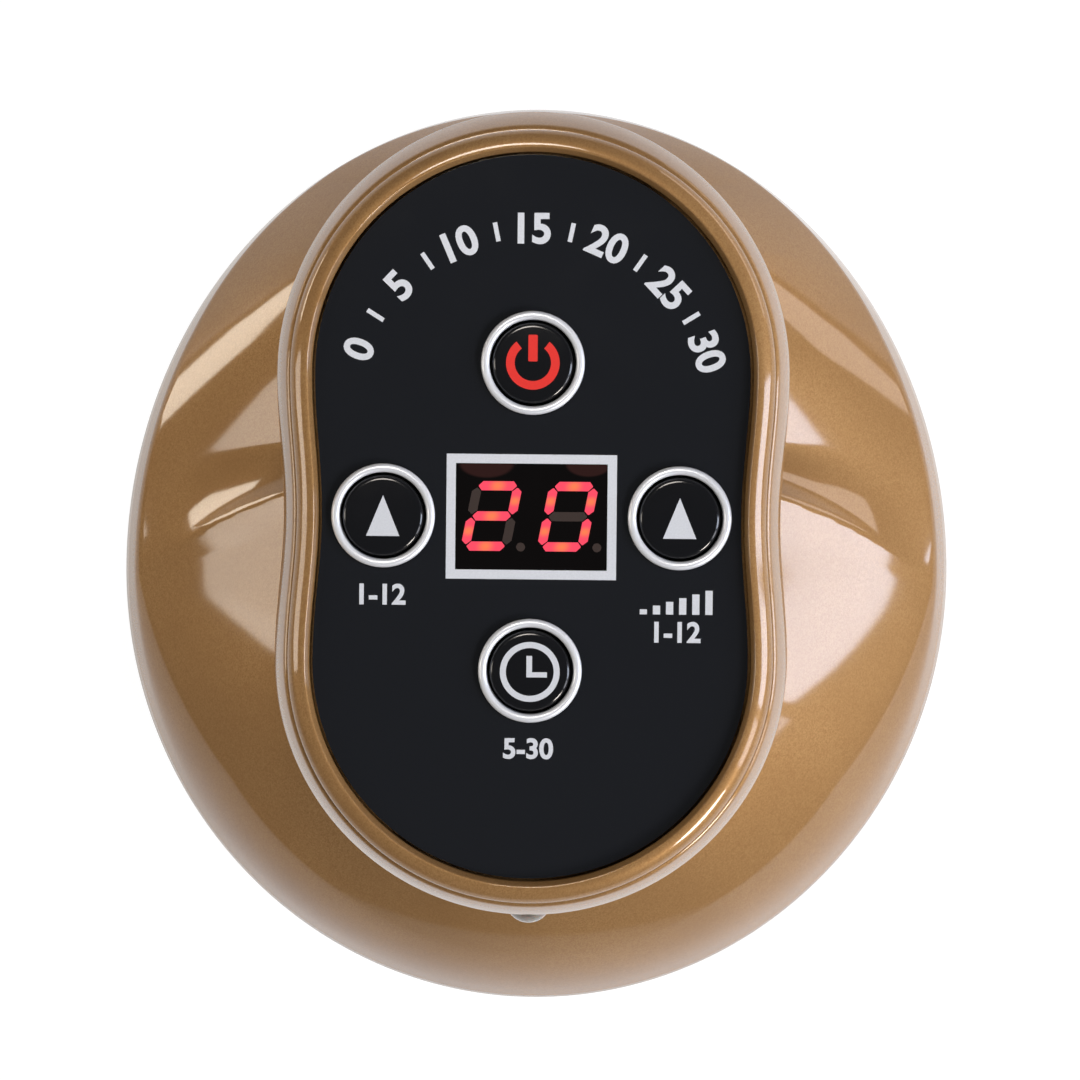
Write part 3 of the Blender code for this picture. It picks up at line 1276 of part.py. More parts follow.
def make_charging_socket():
    low, front, back = socket_box()
    middle = (0, (front + back) / 2, low + SOCKET_MOUTH_HEIGHT / 2)
    shell = box("charging_socket", middle, (SOCKET_MOUTH_WIDTH, SOCKET_LENGTH, SOCKET_MOUTH_HEIGHT))
    hollow = (SOCKET_MOUTH_WIDTH - 2 * SOCKET_SHELL, SOCKET_LENGTH, SOCKET_MOUTH_HEIGHT - 2 * SOCKET_SHELL)
    mouth = (0, middle[1] + SOCKET_TONGUE_SETBACK, middle[2])
    cut(shell, box("socket_mouth", mouth, hollow))
    tongue = (SOCKET_MOUTH_WIDTH / 2, SOCKET_LENGTH - SOCKET_TONGUE_SETBACK, SOCKET_TONGUE_HEIGHT)
    place = (0, front + tongue[1] / 2 + SOCKET_SHELL, middle[2])
    fuse(shell, box("socket_tongue", place, tongue))
    as_part(shell, "screw_steel")


def make_indicator():
    height = indicator_height()
    wall = tray_radius(height)
    tip = wall + INDICATOR_STANDOUT
    flange_in = BOARD_RADIUS + GAP
    flange_out = flange_in + INDICATOR_FLANGE_LENGTH
    profile = []
    for index in range(6):
        angle = math.pi / 2 * index / 5
        profile.append((INDICATOR_RADIUS * math.sin(angle), tip - INDICATOR_RADIUS * (1 - math.cos(angle))))
    profile += [
        (INDICATOR_RADIUS, flange_out),
        (INDICATOR_FLANGE_RADIUS, flange_out),
        (INDICATOR_FLANGE_RADIUS, flange_in),
        (0.0, flange_in),
    ]
    place = (0, HEAD_SHIFT - LOBE_Y, height)
    lamp = turned("indicator_lamp", profile, place, axis=(0, -1, 0))
    as_part(lamp, "clear_lamp")


def make_leads():
    """The twin leads from the control board to what it drives."""
    top = BOARD_UNDER - GAP
    neck = COLLAR_Z + GAP
    hole_x, hole_y = lead_hole()
    valve_top = INSIDE_FLOOR + VALVE_HEIGHT + VALVE_CAP_HEIGHT + 2 * GAP
    battery_top = INSIDE_FLOOR + BATTERY_HEIGHT + GAP
    terminal_top = pump_levels()[5] + ENDBELL_HEIGHT + TERMINAL_HEIGHT + GAP
    terminal_x = TERMINAL_SPACING / 2
    front = BATTERY_BACK_Y
    side = TRAY_HOLE_RADIUS
    step = 2 * LEAD_RADIUS
    routes = {
        "motor_lead": [(terminal_x, PUMP_Y, terminal_top), (terminal_x, PUMP_Y, top)],
        "battery_lead": [
            (0, front * 2, battery_top),
            (0, front * 2, battery_top + step),
            (0, front * 1.7, neck),
            (0, front * 1.8, top - step),
            (0, front * 1.8, top),
        ],
        "lamp_lead": [
            (hole_x, hole_y, BASE_Z),
            (hole_x, hole_y, BASE_TOP + step),
            (hole_x * 0.8, front, neck * 0.8),
            (-side * 0.6, front, neck),
            (-side * 0.6, front, top - step),
            (-side * 0.6, front, top),
        ],
        "valve_lead": [
            (VALVE_X, VALVE_Y, valve_top),
            (VALVE_X, VALVE_Y, valve_top + step),
            (-side * 0.9, 0, neck * 0.92),
            (-side * 0.65, 0, neck * 1.03),
            (-side * 0.65, 0, top - step),
            (-side * 0.65, 0, top),
        ],
    }
    for name, route in routes.items():
        as_part(tube(name, route, LEAD_RADIUS, LEAD_STEPS), "wire_red")


def main():
    clear_scene()
    new_collection(COLLECTION_NAME)
    new_collection("cutters", hidden=True)
    make_dome_shell()
    make_base_plate()
    make_cup()
    make_cup_socket()
    make_lamp()
    make_heater()
    make_suction_port()
    make_pump()
    make_motor()
    make_valve()
    make_tubes()
    make_battery()
    make_head_tray()
    make_bezel()
    make_panel()
    make_keys()
    make_board()
    make_charging_socket()
    make_indicator()
    make_leads()


main()
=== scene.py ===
"""Looks of a hand-held electric cupping massager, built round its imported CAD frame.

World frame: metres, +Z up, -Y towards the user, origin on the table under the middle of the body.
"""

import logging
import math
from collections.abc import Callable, Sequence
from dataclasses import dataclass
from enum import Enum

import bmesh
import bpy
import numpy as np
from mathutils import Matrix, Vector


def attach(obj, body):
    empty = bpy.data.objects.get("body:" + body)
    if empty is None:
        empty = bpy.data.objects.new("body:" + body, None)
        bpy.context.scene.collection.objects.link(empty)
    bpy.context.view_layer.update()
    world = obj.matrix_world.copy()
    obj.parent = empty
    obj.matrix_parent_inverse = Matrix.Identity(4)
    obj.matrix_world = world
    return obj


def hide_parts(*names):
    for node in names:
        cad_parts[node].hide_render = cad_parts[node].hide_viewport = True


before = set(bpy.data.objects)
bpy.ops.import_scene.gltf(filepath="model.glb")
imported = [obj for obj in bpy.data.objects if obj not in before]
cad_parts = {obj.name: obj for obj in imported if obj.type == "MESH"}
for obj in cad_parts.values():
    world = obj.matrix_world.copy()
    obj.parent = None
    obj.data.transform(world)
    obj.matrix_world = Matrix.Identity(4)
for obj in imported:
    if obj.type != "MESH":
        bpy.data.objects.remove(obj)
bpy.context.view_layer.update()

MM = 0.001
DOUBLES = 0.002 * MM
INK = 0.03 * MM
BOLD = 0.03
BEVEL_ANGLE = 40.0
LOG = logging.getLogger("cupping_massager")

Section = Sequence[tuple[float, float]]
Point = tuple[float, ...]
Pair = tuple[float, float]
Mesh = bmesh.types.BMesh
Node = bpy.types.Node
Socket = bpy.types.NodeSocket
Tree = bpy.types.NodeTree


# ---------------------------------------------------------------- shader helpers


def linear(code: str) -> tuple[float, float, float, float]:
    """Turns an sRGB hex colour to the linear colour that shaders take.

    Args:
        code: six hex digits after a hash, such as "#7a5c3e".

    Returns:
        Red, green, blue and a full alpha.
    """
    shares = [int(code[index : index + 2], 16) / 255 for index in (1, 3, 5)]
    lit = [share / 12.92 if share <= 0.04045 else ((share + 0.055) / 1.055) ** 2.4 for share in shares]
    return (lit[0], lit[1], lit[2], 1.0)


def per(size: float) -> float:
    """The texture scale whose pattern repeats about every size metres."""
    return 1.0 / size


def mixed(ends: Pair, share: float) -> float:
    """The value a share of the way from the first of two values to the second."""
    return ends[0] + (ends[1] - ends[0]) * share


def set_values(node: Node, values: dict) -> None:
    """Sets plain values on a node's inputs, by their name or number."""
    for key, value in values.items():
        node.inputs[key].default_value = value


def add_node(
    tree: Tree,
    kind: str,
    values: dict | None = None,
    links: dict | None = None,
    feeds: dict | None = None,
    **settings: str,
) -> Node:
    """Adds a shader node.

    Args:
        tree: the node tree that gets it.
        kind: the node's type name.
        values: plain values, by the input's name or number.
        links: output sockets that feed it, by the input's name or number.
        feeds: input sockets that it feeds, by the output's name or number.
        settings: properties to set on the node.

    Returns:
        The new node.
    """
    node = tree.nodes.new(kind)
    for key, value in settings.items():
        setattr(node, key, value)
    set_values(node, values or {})
    for key, socket in (links or {}).items():
        tree.links.new(socket, node.inputs[key])
    for key, socket in (feeds or {}).items():
        tree.links.new(node.outputs[key], socket)
    return node


def plain_material(name: str) -> bpy.types.Material:
    """Makes a material with nothing but its Principled BSDF."""
    material = bpy.data.materials.new(name)
    material.use_nodes = True
    return material


# ---------------------------------------------------------------- finishes


class Slot(Enum):
    """The record's material slots."""

    GOLD = "gold_paint"
    ACRYLIC = "black_acrylic"
    WINDOW = "smoked_window"
    DISPLAY = "display_black"
    CHROME = "chrome_trim"
    KEY = "key_black"
    LAMP = "clear_lamp"
    CUP = "cup_black"
    INNER = "inner_plastic"
    SEAL = "seal_rubber"
    BOARD = "board_green"
    STEEL = "screw_steel"
    ALUMINIUM = "heater_aluminium"
    LENS = "red_lens"
    SILICONE = "silicone"
    BATTERY = "battery_wrap"
    WIRE = "wire_red"


@dataclass(frozen=True)
class Finish:
    """The shader values that every finish has, and the slot it belongs to."""

    name: str
    slot: Slot
    colour: str
    roughness: float = 0.4
    metallic: float = 0.0
    coat: float = 0.0
    coat_roughness: float = 0.05
    specular: float = 0.5

    def material(self) -> bpy.types.Material:
        """Returns the finish's material, made when it is first asked for."""
        found = bpy.data.materials.get(self.name)
        if found:
            return found
        found = plain_material(self.name)
        tree = found.node_tree
        shader = tree.nodes["Principled BSDF"]
        values = {
            "Base Color": linear(self.colour),
            "Roughness": self.roughness,
            "Metallic": self.metallic,
            "Specular IOR Level": self.specular,
            "Coat Weight": self.coat,
            "Coat Roughness": self.coat_roughness,
        }
        set_values(shader, values)
        self.detail(tree, shader, add_node(tree, "ShaderNodeTexCoord").outputs["Object"])
        return found

    def detail(self, tree: Tree, shader: Node, place: Socket) -> None:
        """Adds the finish's own pattern; each kind of finish has its own.

        Args:
            tree: the material's node tree.
            shader: its Principled BSDF.
            place: the object coordinates.
        """
        raise NotImplementedError


@dataclass(frozen=True)
class MicaLacquer(Finish):
    """Champagne-gold mica paint under a clear lacquer, sprayed on moulded ABS.

    The mica gives a fine two-tone sparkle under a hard, clear, slightly wavy gloss.
    """

    glint: str = "#b08b5d"
    flake: float = 0.13 * MM
    drift: float = 14.0 * MM
    peel: float = 2.6 * MM

    def detail(self, tree: Tree, shader: Node, place: Socket) -> None:
        """Adds mica flakes, drawn coarser than real ones so that they show, and the lacquer's orange peel."""
        set_values(shader, {"Specular Tint": linear(self.colour)})
        at = {"Vector": place}
        flakes = add_node(tree, "ShaderNodeTexVoronoi", {"Scale": per(self.flake)}, at).outputs["Color"]
        drift = add_node(tree, "ShaderNodeTexNoise", {"Scale": per(self.drift), "Detail": 2.0}, at)
        shares = {0: flakes, 1: drift.outputs["Fac"]}
        share = add_node(tree, "ShaderNodeMath", links=shares, operation="MULTIPLY").outputs[0]
        tones = {6: linear(self.colour), 7: linear(self.glint)}
        add_node(tree, "ShaderNodeMix", tones, {0: share}, {2: shader.inputs["Base Color"]}, data_type="RGBA")
        sparkle = {"Strength": 0.06, "Distance": 0.01 * MM}
        add_node(tree, "ShaderNodeBump", sparkle, {"Height": flakes}, {0: shader.inputs["Normal"]})
        ripples = {"Scale": per(self.peel), "Detail": 1.0}
        waves = add_node(tree, "ShaderNodeTexNoise", ripples, at).outputs["Fac"]
        peel = {"Strength": 0.25, "Distance": 0.008 * MM}
        add_node(tree, "ShaderNodeBump", peel, {"Height": waves}, {0: shader.inputs["Coat Normal"]})


@dataclass(frozen=True)
class PolishedPlastic(Finish):
    """Acrylic or ABS from a polished mould: a hard gloss with faint haze where it has been wiped."""

    haze: float = 0.06
    haze_size: float = 9.0 * MM
    wave: float = 0.004 * MM

    def detail(self, tree: Tree, shader: Node, place: Socket) -> None:
        """Adds cloudy haze to the gloss and a very slight waviness to the face."""
        clouds = {"Scale": per(self.haze_size), "Detail": 5.0, "Roughness": 0.65}
        cloud = add_node(tree, "ShaderNodeTexNoise", clouds, {"Vector": place}).outputs["Fac"]
        gloss = {"From Min": 0.35, "From Max": 0.7}
        gloss |= {"To Min": self.roughness, "To Max": self.roughness + self.haze}
        add_node(tree, "ShaderNodeMapRange", gloss, {"Value": cloud}, {0: shader.inputs["Roughness"]})
        bump = {"Strength": 0.3, "Distance": self.wave}
        add_node(tree, "ShaderNodeBump", bump, {"Height": cloud}, {0: shader.inputs["Normal"]})


@dataclass(frozen=True)
class WindowPlastic(PolishedPlastic):
    """The smoked window, with the faint red glow of the display's reflectors near its upper edge."""

    glow: str = "#2c1614"
    glow_places: tuple[Point, ...] = ((-4.5, 9.7, 2.8, 1.5), (5.6, 9.7, 2.3, 1.3))
    glow_fade: Pair = (1.05, 0.85)

    def detail(self, tree: Tree, shader: Node, place: Socket) -> None:
        """Adds two dim glows, each in an ellipse of (x, y, half width, half length) in millimetres."""
        super().detail(tree, shader, place)
        fade = dict(zip(("From Min", "From Max"), self.glow_fade))
        masks = []
        for x, y, across, along in self.glow_places:
            ellipse = {"Location": (-x / across, -y / along, 0.0)}
            ellipse["Scale"] = (per(across * MM), per(along * MM), 0.0)
            local = add_node(tree, "ShaderNodeMapping", ellipse, {"Vector": place}).outputs[0]
            far = add_node(tree, "ShaderNodeVectorMath", links={0: local}, operation="LENGTH")
            reach = {"Value": far.outputs["Value"]}
            mask = add_node(tree, "ShaderNodeMapRange", fade, reach, interpolation_type="SMOOTHSTEP")
            masks.append(mask.outputs[0])
        share = add_node(tree, "ShaderNodeMath", links=dict(enumerate(masks)), operation="MAXIMUM").outputs[0]
        tones, out = {6: linear("#000000"), 7: linear(self.glow)}, {2: shader.inputs["Emission Color"]}
        add_node(tree, "ShaderNodeMix", tones, {0: share}, out, data_type="RGBA")
        set_values(shader, {"Emission Strength": 1.0})


@dataclass(frozen=True)
class MouldedPlastic(Finish):
    """ABS or nylon from a spark-eroded mould: a fine matt grain."""

    grain: float = 0.35 * MM
    depth: float = 0.03 * MM
    wear: float = 11.0 * MM

    def detail(self, tree: Tree, shader: Node, place: Socket) -> None:
        """Adds the mould's grain and slightly uneven gloss."""
        at = {"Vector": place}
        grains = {"Scale": per(self.grain), "Detail": 3.0, "Roughness": 0.6}
        grain = add_node(tree, "ShaderNodeTexNoise", grains, at).outputs["Fac"]
        bump = {"Strength": 0.4, "Distance": self.depth}
        add_node(tree, "ShaderNodeBump", bump, {"Height": grain}, {0: shader.inputs["Normal"]})
        patches = {"Scale": per(self.wear), "Detail": 3.0}
        wear = add_node(tree, "ShaderNodeTexNoise", patches, at).outputs["Fac"]
        gloss = {"To Min": self.roughness * 0.8, "To Max": self.roughness * 1.25}
        add_node(tree, "ShaderNodeMapRange", gloss, {"Value": wear}, {0: shader.inputs["Roughness"]})


@dataclass(frozen=True)
class SatinPlating(Finish):
    """Decorative chrome plating on ABS, satin: a soft silver sheen with hairline polishing marks."""

    mark: float = 0.18 * MM

    def detail(self, tree: Tree, shader: Node, place: Socket) -> None:
        """Adds hairlines across the plating and a little clouding."""
        hairs = {"Scale": per(self.mark), "Detail": 4.0, "Roughness": 0.7}
        marks = add_node(tree, "ShaderNodeTexNoise", hairs, {"Vector": place}).outputs["Fac"]
        gloss = {"To Min": self.roughness * 0.7, "To Max": self.roughness * 1.4}
        add_node(tree, "ShaderNodeMapRange", gloss, {"Value": marks}, {0: shader.inputs["Roughness"]})
        bump = {"Strength": 0.12, "Distance": 0.01 * MM}
        add_node(tree, "ShaderNodeBump", bump, {"Height": marks}, {0: shader.inputs["Normal"]})


@dataclass(frozen=True)
class MachinedMetal(Finish):
    """Steel or aluminium as turned, pressed or drawn: satin, with fine lines left by the tool."""

    line: float = 1.0 * MM
    squash: float = 12.0

    def detail(self, tree: Tree, shader: Node, place: Socket) -> None:
        """Adds the tool's lines, long across and close together in height."""
        flat = add_node(tree, "ShaderNodeMapping", {"Scale": (1.0, 1.0, self.squash)}, {"Vector": place})
        at, strokes = {"Vector": flat.outputs[0]}, {"Scale": per(self.line), "Detail": 4.0}
        lines = add_node(tree, "ShaderNodeTexNoise", strokes, at).outputs["Fac"]
        gloss = {"To Min": self.roughness * 0.75, "To Max": self.roughness * 1.3}
        add_node(tree, "ShaderNodeMapRange", gloss, {"Value": lines}, {0: shader.inputs["Roughness"]})
        bump = {"Strength": 0.35, "Distance": 0.012 * MM}
        add_node(tree, "ShaderNodeBump", bump, {"Height": lines}, {0: shader.inputs["Normal"]})


@dataclass(frozen=True)
class ScreenInk(Finish):
    """Screen-printed ink, as a silver metallic one: satin, with the pigment's fine grain."""

    shade: str = "#c0c5cd"
    grain: float = 0.16 * MM

    def detail(self, tree: Tree, shader: Node, place: Socket) -> None:
        """Adds the pigment's grain in colour and height."""
        grains = {"Scale": per(self.grain), "Detail": 2.0}
        grain = add_node(tree, "ShaderNodeTexNoise", grains, {"Vector": place}).outputs["Fac"]
        tones = {6: linear(self.colour), 7: linear(self.shade)}
        add_node(tree, "ShaderNodeMix", tones, {0: grain}, {2: shader.inputs["Base Color"]}, data_type="RGBA")
        bump = {"Strength": 0.3, "Distance": 0.01 * MM}
        add_node(tree, "ShaderNodeBump", bump, {"Height": grain}, {0: shader.inputs["Normal"]})


@dataclass(frozen=True)
class LitInk(ScreenInk):
    """Translucent ink with a lamp behind it: it gives out some of its colour."""

    glow: float = 0.22

    def detail(self, tree: Tree, shader: Node, place: Socket) -> None:
        """Adds the ink's grain and the lamp's even glow."""
        super().detail(tree, shader, place)
        set_values(shader, {"Emission Color": linear(self.colour), "Emission Strength": self.glow})


@dataclass(frozen=True)
class LitSegment(Finish):
    """An epoxy-filled segment with its LED die in the middle: orange over the die, pink-red at the tips."""

    hot: str = "#ff7f4c"
    tip: str = "#ff4763"
    reach: float = 0.6

    def detail(self, tree: Tree, shader: Node, place: Socket) -> None:
        """Colours the segment by its own UV, whose middle is the die."""
        uv = add_node(tree, "ShaderNodeUVMap", uv_map="segment").outputs[0]
        far = add_node(tree, "ShaderNodeVectorMath", links={0: uv}, operation="LENGTH").outputs["Value"]
        fade = {"From Min": 0.0, "From Max": self.reach}
        share = add_node(tree, "ShaderNodeMapRange", fade, {"Value": far}, interpolation_type="SMOOTHSTEP")
        tones, out = {6: linear(self.hot), 7: linear(self.tip)}, {2: shader.inputs["Emission Color"]}
        add_node(tree, "ShaderNodeMix", tones, {0: share.outputs[0]}, out, data_type="RGBA")
        set_values(shader, {"Emission Strength": 1.0})


@dataclass(frozen=True)
class SoftRubber(Finish):
    """Moulded nitrile, silicone or soft PVC: a dull skin with a dusty bloom."""

    bloom: str = "#6a6a6a"
    grain: float = 0.5 * MM
    patch: float = 8.0

    def detail(self, tree: Tree, shader: Node, place: Socket) -> None:
        """Adds a light bloom in patches, each as wide as several grains, and a fine skin."""
        at = {"Vector": place}
        patches = {"Scale": per(self.grain * self.patch), "Detail": 4.0}
        patch = add_node(tree, "ShaderNodeTexNoise", patches, at).outputs["Fac"]
        dust = {"From Min": 0.4, "From Max": 0.8, "To Min": 0.0, "To Max": 0.25}
        share = add_node(tree, "ShaderNodeMapRange", dust, {"Value": patch}).outputs[0]
        tones = {6: linear(self.colour), 7: linear(self.bloom)}
        add_node(tree, "ShaderNodeMix", tones, {0: share}, {2: shader.inputs["Base Color"]}, data_type="RGBA")
        grains = {"Scale": per(self.grain), "Detail": 2.0}
        grain = add_node(tree, "ShaderNodeTexNoise", grains, at).outputs["Fac"]
        bump = {"Strength": 0.4, "Distance": 0.02 * MM}
        add_node(tree, "ShaderNodeBump", bump, {"Height": grain}, {0: shader.inputs["Normal"]})


@dataclass(frozen=True)
class SolderMask(Finish):
    """Green solder mask on woven glass laminate: glossy, its copper tracks a lighter green."""

    track: str = "#1d7a45"
    pitch: float = 1.6 * MM
    track_edge: Pair = (0.32, 0.36)
    weave: float = 0.5 * MM

    def detail(self, tree: Tree, shader: Node, place: Socket) -> None:
        """Adds the tracks as square cells and the glass weave as a fine bump."""
        at = {"Vector": place}
        cells = add_node(tree, "ShaderNodeTexVoronoi", {"Scale": per(self.pitch)}, at, distance="CHEBYCHEV")
        edges = dict(zip(("From Min", "From Max"), self.track_edge))
        edge = add_node(tree, "ShaderNodeMapRange", edges, {"Value": cells.outputs["Distance"]}).outputs[0]
        tones = {6: linear(self.track), 7: linear(self.colour)}
        add_node(tree, "ShaderNodeMix", tones, {0: edge}, {2: shader.inputs["Base Color"]}, data_type="RGBA")
        weave = add_node(tree, "ShaderNodeTexChecker", {"Scale": per(self.weave)}, at).outputs["Fac"]
        bump = {"Strength": 0.2, "Distance": 0.01 * MM}
        add_node(tree, "ShaderNodeBump", bump, {"Height": weave}, {0: shader.inputs["Normal"]})


@dataclass(frozen=True)
class ClearMoulding(Finish):
    """Translucent polycarbonate or acrylic: light goes a little way in before it scatters."""

    depth: float = 1.5 * MM
    cloud: float = 3.0 * MM

    def detail(self, tree: Tree, shader: Node, place: Socket) -> None:
        """Adds scatter below the surface and slight flow marks."""
        set_values(shader, {"Subsurface Weight": 0.5, "Subsurface Scale": self.depth})
        marks = {"Scale": per(self.cloud), "Detail": 2.0}
        flow = add_node(tree, "ShaderNodeTexNoise", marks, {"Vector": place}).outputs["Fac"]
        gloss = {"To Min": self.roughness * 0.7, "To Max": self.roughness * 1.4}
        add_node(tree, "ShaderNodeMapRange", gloss, {"Value": flow}, {0: shader.inputs["Roughness"]})


@dataclass(frozen=True)
class ShrinkWrap(Finish):
    """PVC shrink sleeve: thin, glossy and drawn into fine creases."""

    crease: float = 7.54 * MM

    def detail(self, tree: Tree, shader: Node, place: Socket) -> None:
        """Adds the creases across the sleeve; a wave texture of scale 1 repeats every pi / 10."""
        waves = {"Scale": math.pi / 10 * per(self.crease), "Distortion": 6.0, "Detail": 3.0}
        creases = add_node(tree, "ShaderNodeTexWave", waves, {"Vector": place}).outputs["Fac"]
        bump = {"Strength": 0.35, "Distance": 0.05 * MM}
        add_node(tree, "ShaderNodeBump", bump, {"Height": creases}, {0: shader.inputs["Normal"]})


GOLD = MicaLacquer(
    "champagne_mica_lacquer", Slot.GOLD, "#8a673f", 0.44, 0.28, coat=1.0, coat_roughness=0.07, specular=0.0
)
ACRYLIC = PolishedPlastic("polished_black_acrylic", Slot.ACRYLIC, "#181a1e", 0.06)
WINDOW = WindowPlastic("smoked_polycarbonate", Slot.WINDOW, "#050303", 0.05)
KEY_CAP = PolishedPlastic("gloss_black_abs", Slot.KEY, "#101114", 0.10)
CHROME = SatinPlating("decorative_chrome", Slot.CHROME, "#e4e8ee", 0.3, 0.35)
SILVER_INK = ScreenInk("silver_screen_ink", Slot.ACRYLIC, "#d9dee5", 0.42, 0.15)
KEY_INK = ScreenInk("silver_key_ink", Slot.KEY, "#d4d9e0", 0.42, 0.15)
RED_INK = LitInk("red_lit_ink", Slot.KEY, "#d01a10", 0.45, shade="#bd150c")
LIT = LitSegment("lit_epoxy_segment", Slot.WINDOW, "#200808", 0.3)
UNLIT = ScreenInk("unlit_epoxy_segment", Slot.WINDOW, "#2c1c17", 0.4, shade="#241612")
NUB = ClearMoulding("smoky_clear_acrylic", Slot.LAMP, "#6e675f", 0.12, coat=0.6)
CUP_PLASTIC = PolishedPlastic("gloss_black_cup_abs", Slot.CUP, "#17181a", 0.16, haze=0.12)
INNER_PLASTIC = MouldedPlastic("spark_grain_abs", Slot.INNER, "#26272a", 0.5)
DISPLAY_CASE = MouldedPlastic("display_case_abs", Slot.DISPLAY, "#131314", 0.45)
SWITCH_STEM = MouldedPlastic("switch_stem_nylon", Slot.KEY, "#1c1d20", 0.4)
LAMP_LENS = ClearMoulding("red_polycarbonate", Slot.LENS, "#a80d10", 0.12, coat=0.3)
ALUMINIUM = MachinedMetal("satin_aluminium", Slot.ALUMINIUM, "#d2d3d5", 0.28, 1.0)
STEEL = MachinedMetal("zinc_plated_steel", Slot.STEEL, "#b9bbbd", 0.3, 1.0)
NITRILE = SoftRubber("nitrile_rubber", Slot.SEAL, "#1d1d1e", 0.65)
SILICONE = SoftRubber("silicone_rubber", Slot.SILICONE, "#d9d8d2", 0.4, bloom="#f0efe9")
LAMINATE = SolderMask("solder_masked_laminate", Slot.BOARD, "#0b5a30", 0.25)
SLEEVE = ShrinkWrap("pvc_shrink_sleeve", Slot.BATTERY, "#1c63a8", 0.22)
INSULATION = SoftRubber("pvc_wire_insulation", Slot.WIRE, "#b01818", 0.4, bloom="#c53a3a", grain=0.4 * MM)


# ---------------------------------------------------------------- mesh helpers


def sealed(work: Mesh) -> Mesh:
    """Joins the points of a surface that lie on each other and turns its faces one way."""
    bmesh.ops.remove_doubles(work, verts=work.verts, dist=DOUBLES)
    bmesh.ops.recalc_face_normals(work, faces=work.faces)
    return work


def moved(work: Mesh, place: Point, turn: float = 0.0) -> Mesh:
    """Turns a mesh about the upright axis, by an angle in radians, and then moves it."""
    bmesh.ops.rotate(work, verts=work.verts, cent=(0, 0, 0), matrix=Matrix.Rotation(turn, 3, "Z"))
    bmesh.ops.translate(work, verts=work.verts, vec=place)
    return work


def upright(work: Mesh) -> Mesh:
    """Stands a flat plate up, so that its own heights become places along Y and its Y becomes Z."""
    turn = Matrix(((1, 0, 0), (0, 0, 1), (0, 1, 0)))
    bmesh.ops.transform(work, matrix=turn.to_4x4(), verts=work.verts)
    bmesh.ops.reverse_faces(work, faces=work.faces)
    return work


def wrapped(columns: int, rows: int, place: Callable[[float, float], Point]) -> Mesh:
    """Bends a grid to a surface that goes round, and joins it where it meets itself.

    Args:
        columns: faces round the surface.
        rows: faces along it.
        place: gives the point for the shares round and along, each from 0 to 1.

    Returns:
        The surface, its faces turned one way.
    """
    work = bmesh.new()
    bmesh.ops.create_grid(work, x_segments=columns, y_segments=rows, size=1.0)
    for vert in work.verts:
        vert.co = place((vert.co.x + 1) / 2, (vert.co.y + 1) / 2)
    return sealed(work)


def turned(section: Section, place: Point = (0.0, 0.0, 0.0), steps: int = 96, closed: bool = False) -> Mesh:
    """Turns a section about an upright axis.

    Args:
        section: points of (radius, height).
        place: where the axis stands.
        steps: faces round it.
        closed: whether the section is a loop.

    Returns:
        The turned body.
    """
    work = bmesh.new()
    verts = [work.verts.new((radius, 0.0, height)) for radius, height in section]
    ends = verts[1:] + (verts[:1] if closed else [])
    edges = [work.edges.new(pair) for pair in zip(verts, ends)]
    around = {"cent": (0, 0, 0), "axis": (0, 0, 1), "angle": 2 * math.pi}
    bmesh.ops.spin(work, geom=[*verts, *edges], steps=steps, use_merge=True, **around)
    return moved(sealed(work), place)


def softened(
    section: Section, reach: float, steps: int = 3, closed: bool = True, least: float = 18.0
) -> Section:
    """Rounds the corners of a section.

    Args:
        section: its points.
        reach: how far from a corner the rounding starts, where its sides are long enough.
        steps: faces in each rounded corner.
        closed: whether the section ends where it starts.
        least: corners that turn less than this many degrees stay as they are.

    Returns:
        The section with rounded corners.
    """
    most = 0.45
    points = [Vector(point) for point in section]
    rounded = []
    for index, point in enumerate(points):
        ends = index in (0, len(points) - 1) and not closed
        before = points[index - 1] - point
        after = points[(index + 1) % len(points)] - point
        if ends or math.degrees(before.angle(-after)) < least:
            rounded.append(tuple(point))
            continue
        near = point + before.normalized() * min(reach, before.length * most)
        far = point + after.normalized() * min(reach, after.length * most)
        for step in range(steps + 1):
            share = step / steps
            rounded.append(tuple(near.lerp(point, share).lerp(point.lerp(far, share), share)))
    return rounded


def arc(middle: Pair, reach: Pair, sweep: Pair, steps: int) -> list[Pair]:
    """Points of an arc of an ellipse.

    Args:
        middle: the ellipse's middle.
        reach: its half width and half height.
        sweep: the first and the last angle, in degrees.
        steps: how many pieces it has.

    Returns:
        The points, both ends included.
    """
    turns = [math.radians(mixed(sweep, step / steps)) for step in range(steps + 1)]
    return [(middle[0] + reach[0] * math.cos(turn), middle[1] + reach[1] * math.sin(turn)) for turn in turns]


def circle(x: float, y: float, radius: float, steps: int = 64) -> list[Pair]:
    """Points of a circle."""
    return arc((x, y), (radius, radius), (0.0, 360.0), steps)[:-1]


def rectangle(x: float, y: float, width: float, length: float, rounding: float = 0.0) -> list[Pair]:
    """Points of a rectangle about (x, y), its corners rounded."""
    points = []
    for quarter, (across, along) in enumerate(((1, 1), (-1, 1), (-1, -1), (1, -1))):
        corner = (x + across * (width / 2 - rounding), y + along * (length / 2 - rounding))
        sweep = (90.0 * quarter, 90.0 * quarter + 90.0)
        points += arc(corner, (rounding, rounding), sweep, 6) if rounding else [corner]
    return points


def placed(name: str, data: bpy.types.ID) -> bpy.types.Object:
    """Puts a mesh, curve, camera or lamp into the scene as an object."""
    made = bpy.data.objects.new(name, data)
    bpy.context.scene.collection.objects.link(made)
    return made


def mesh_of(name: str, work: Mesh) -> bpy.types.Mesh:
    """Makes a mesh of a bmesh and frees the bmesh."""
    mesh = bpy.data.meshes.new(name)
    work.to_mesh(mesh)
    work.free()
    return mesh


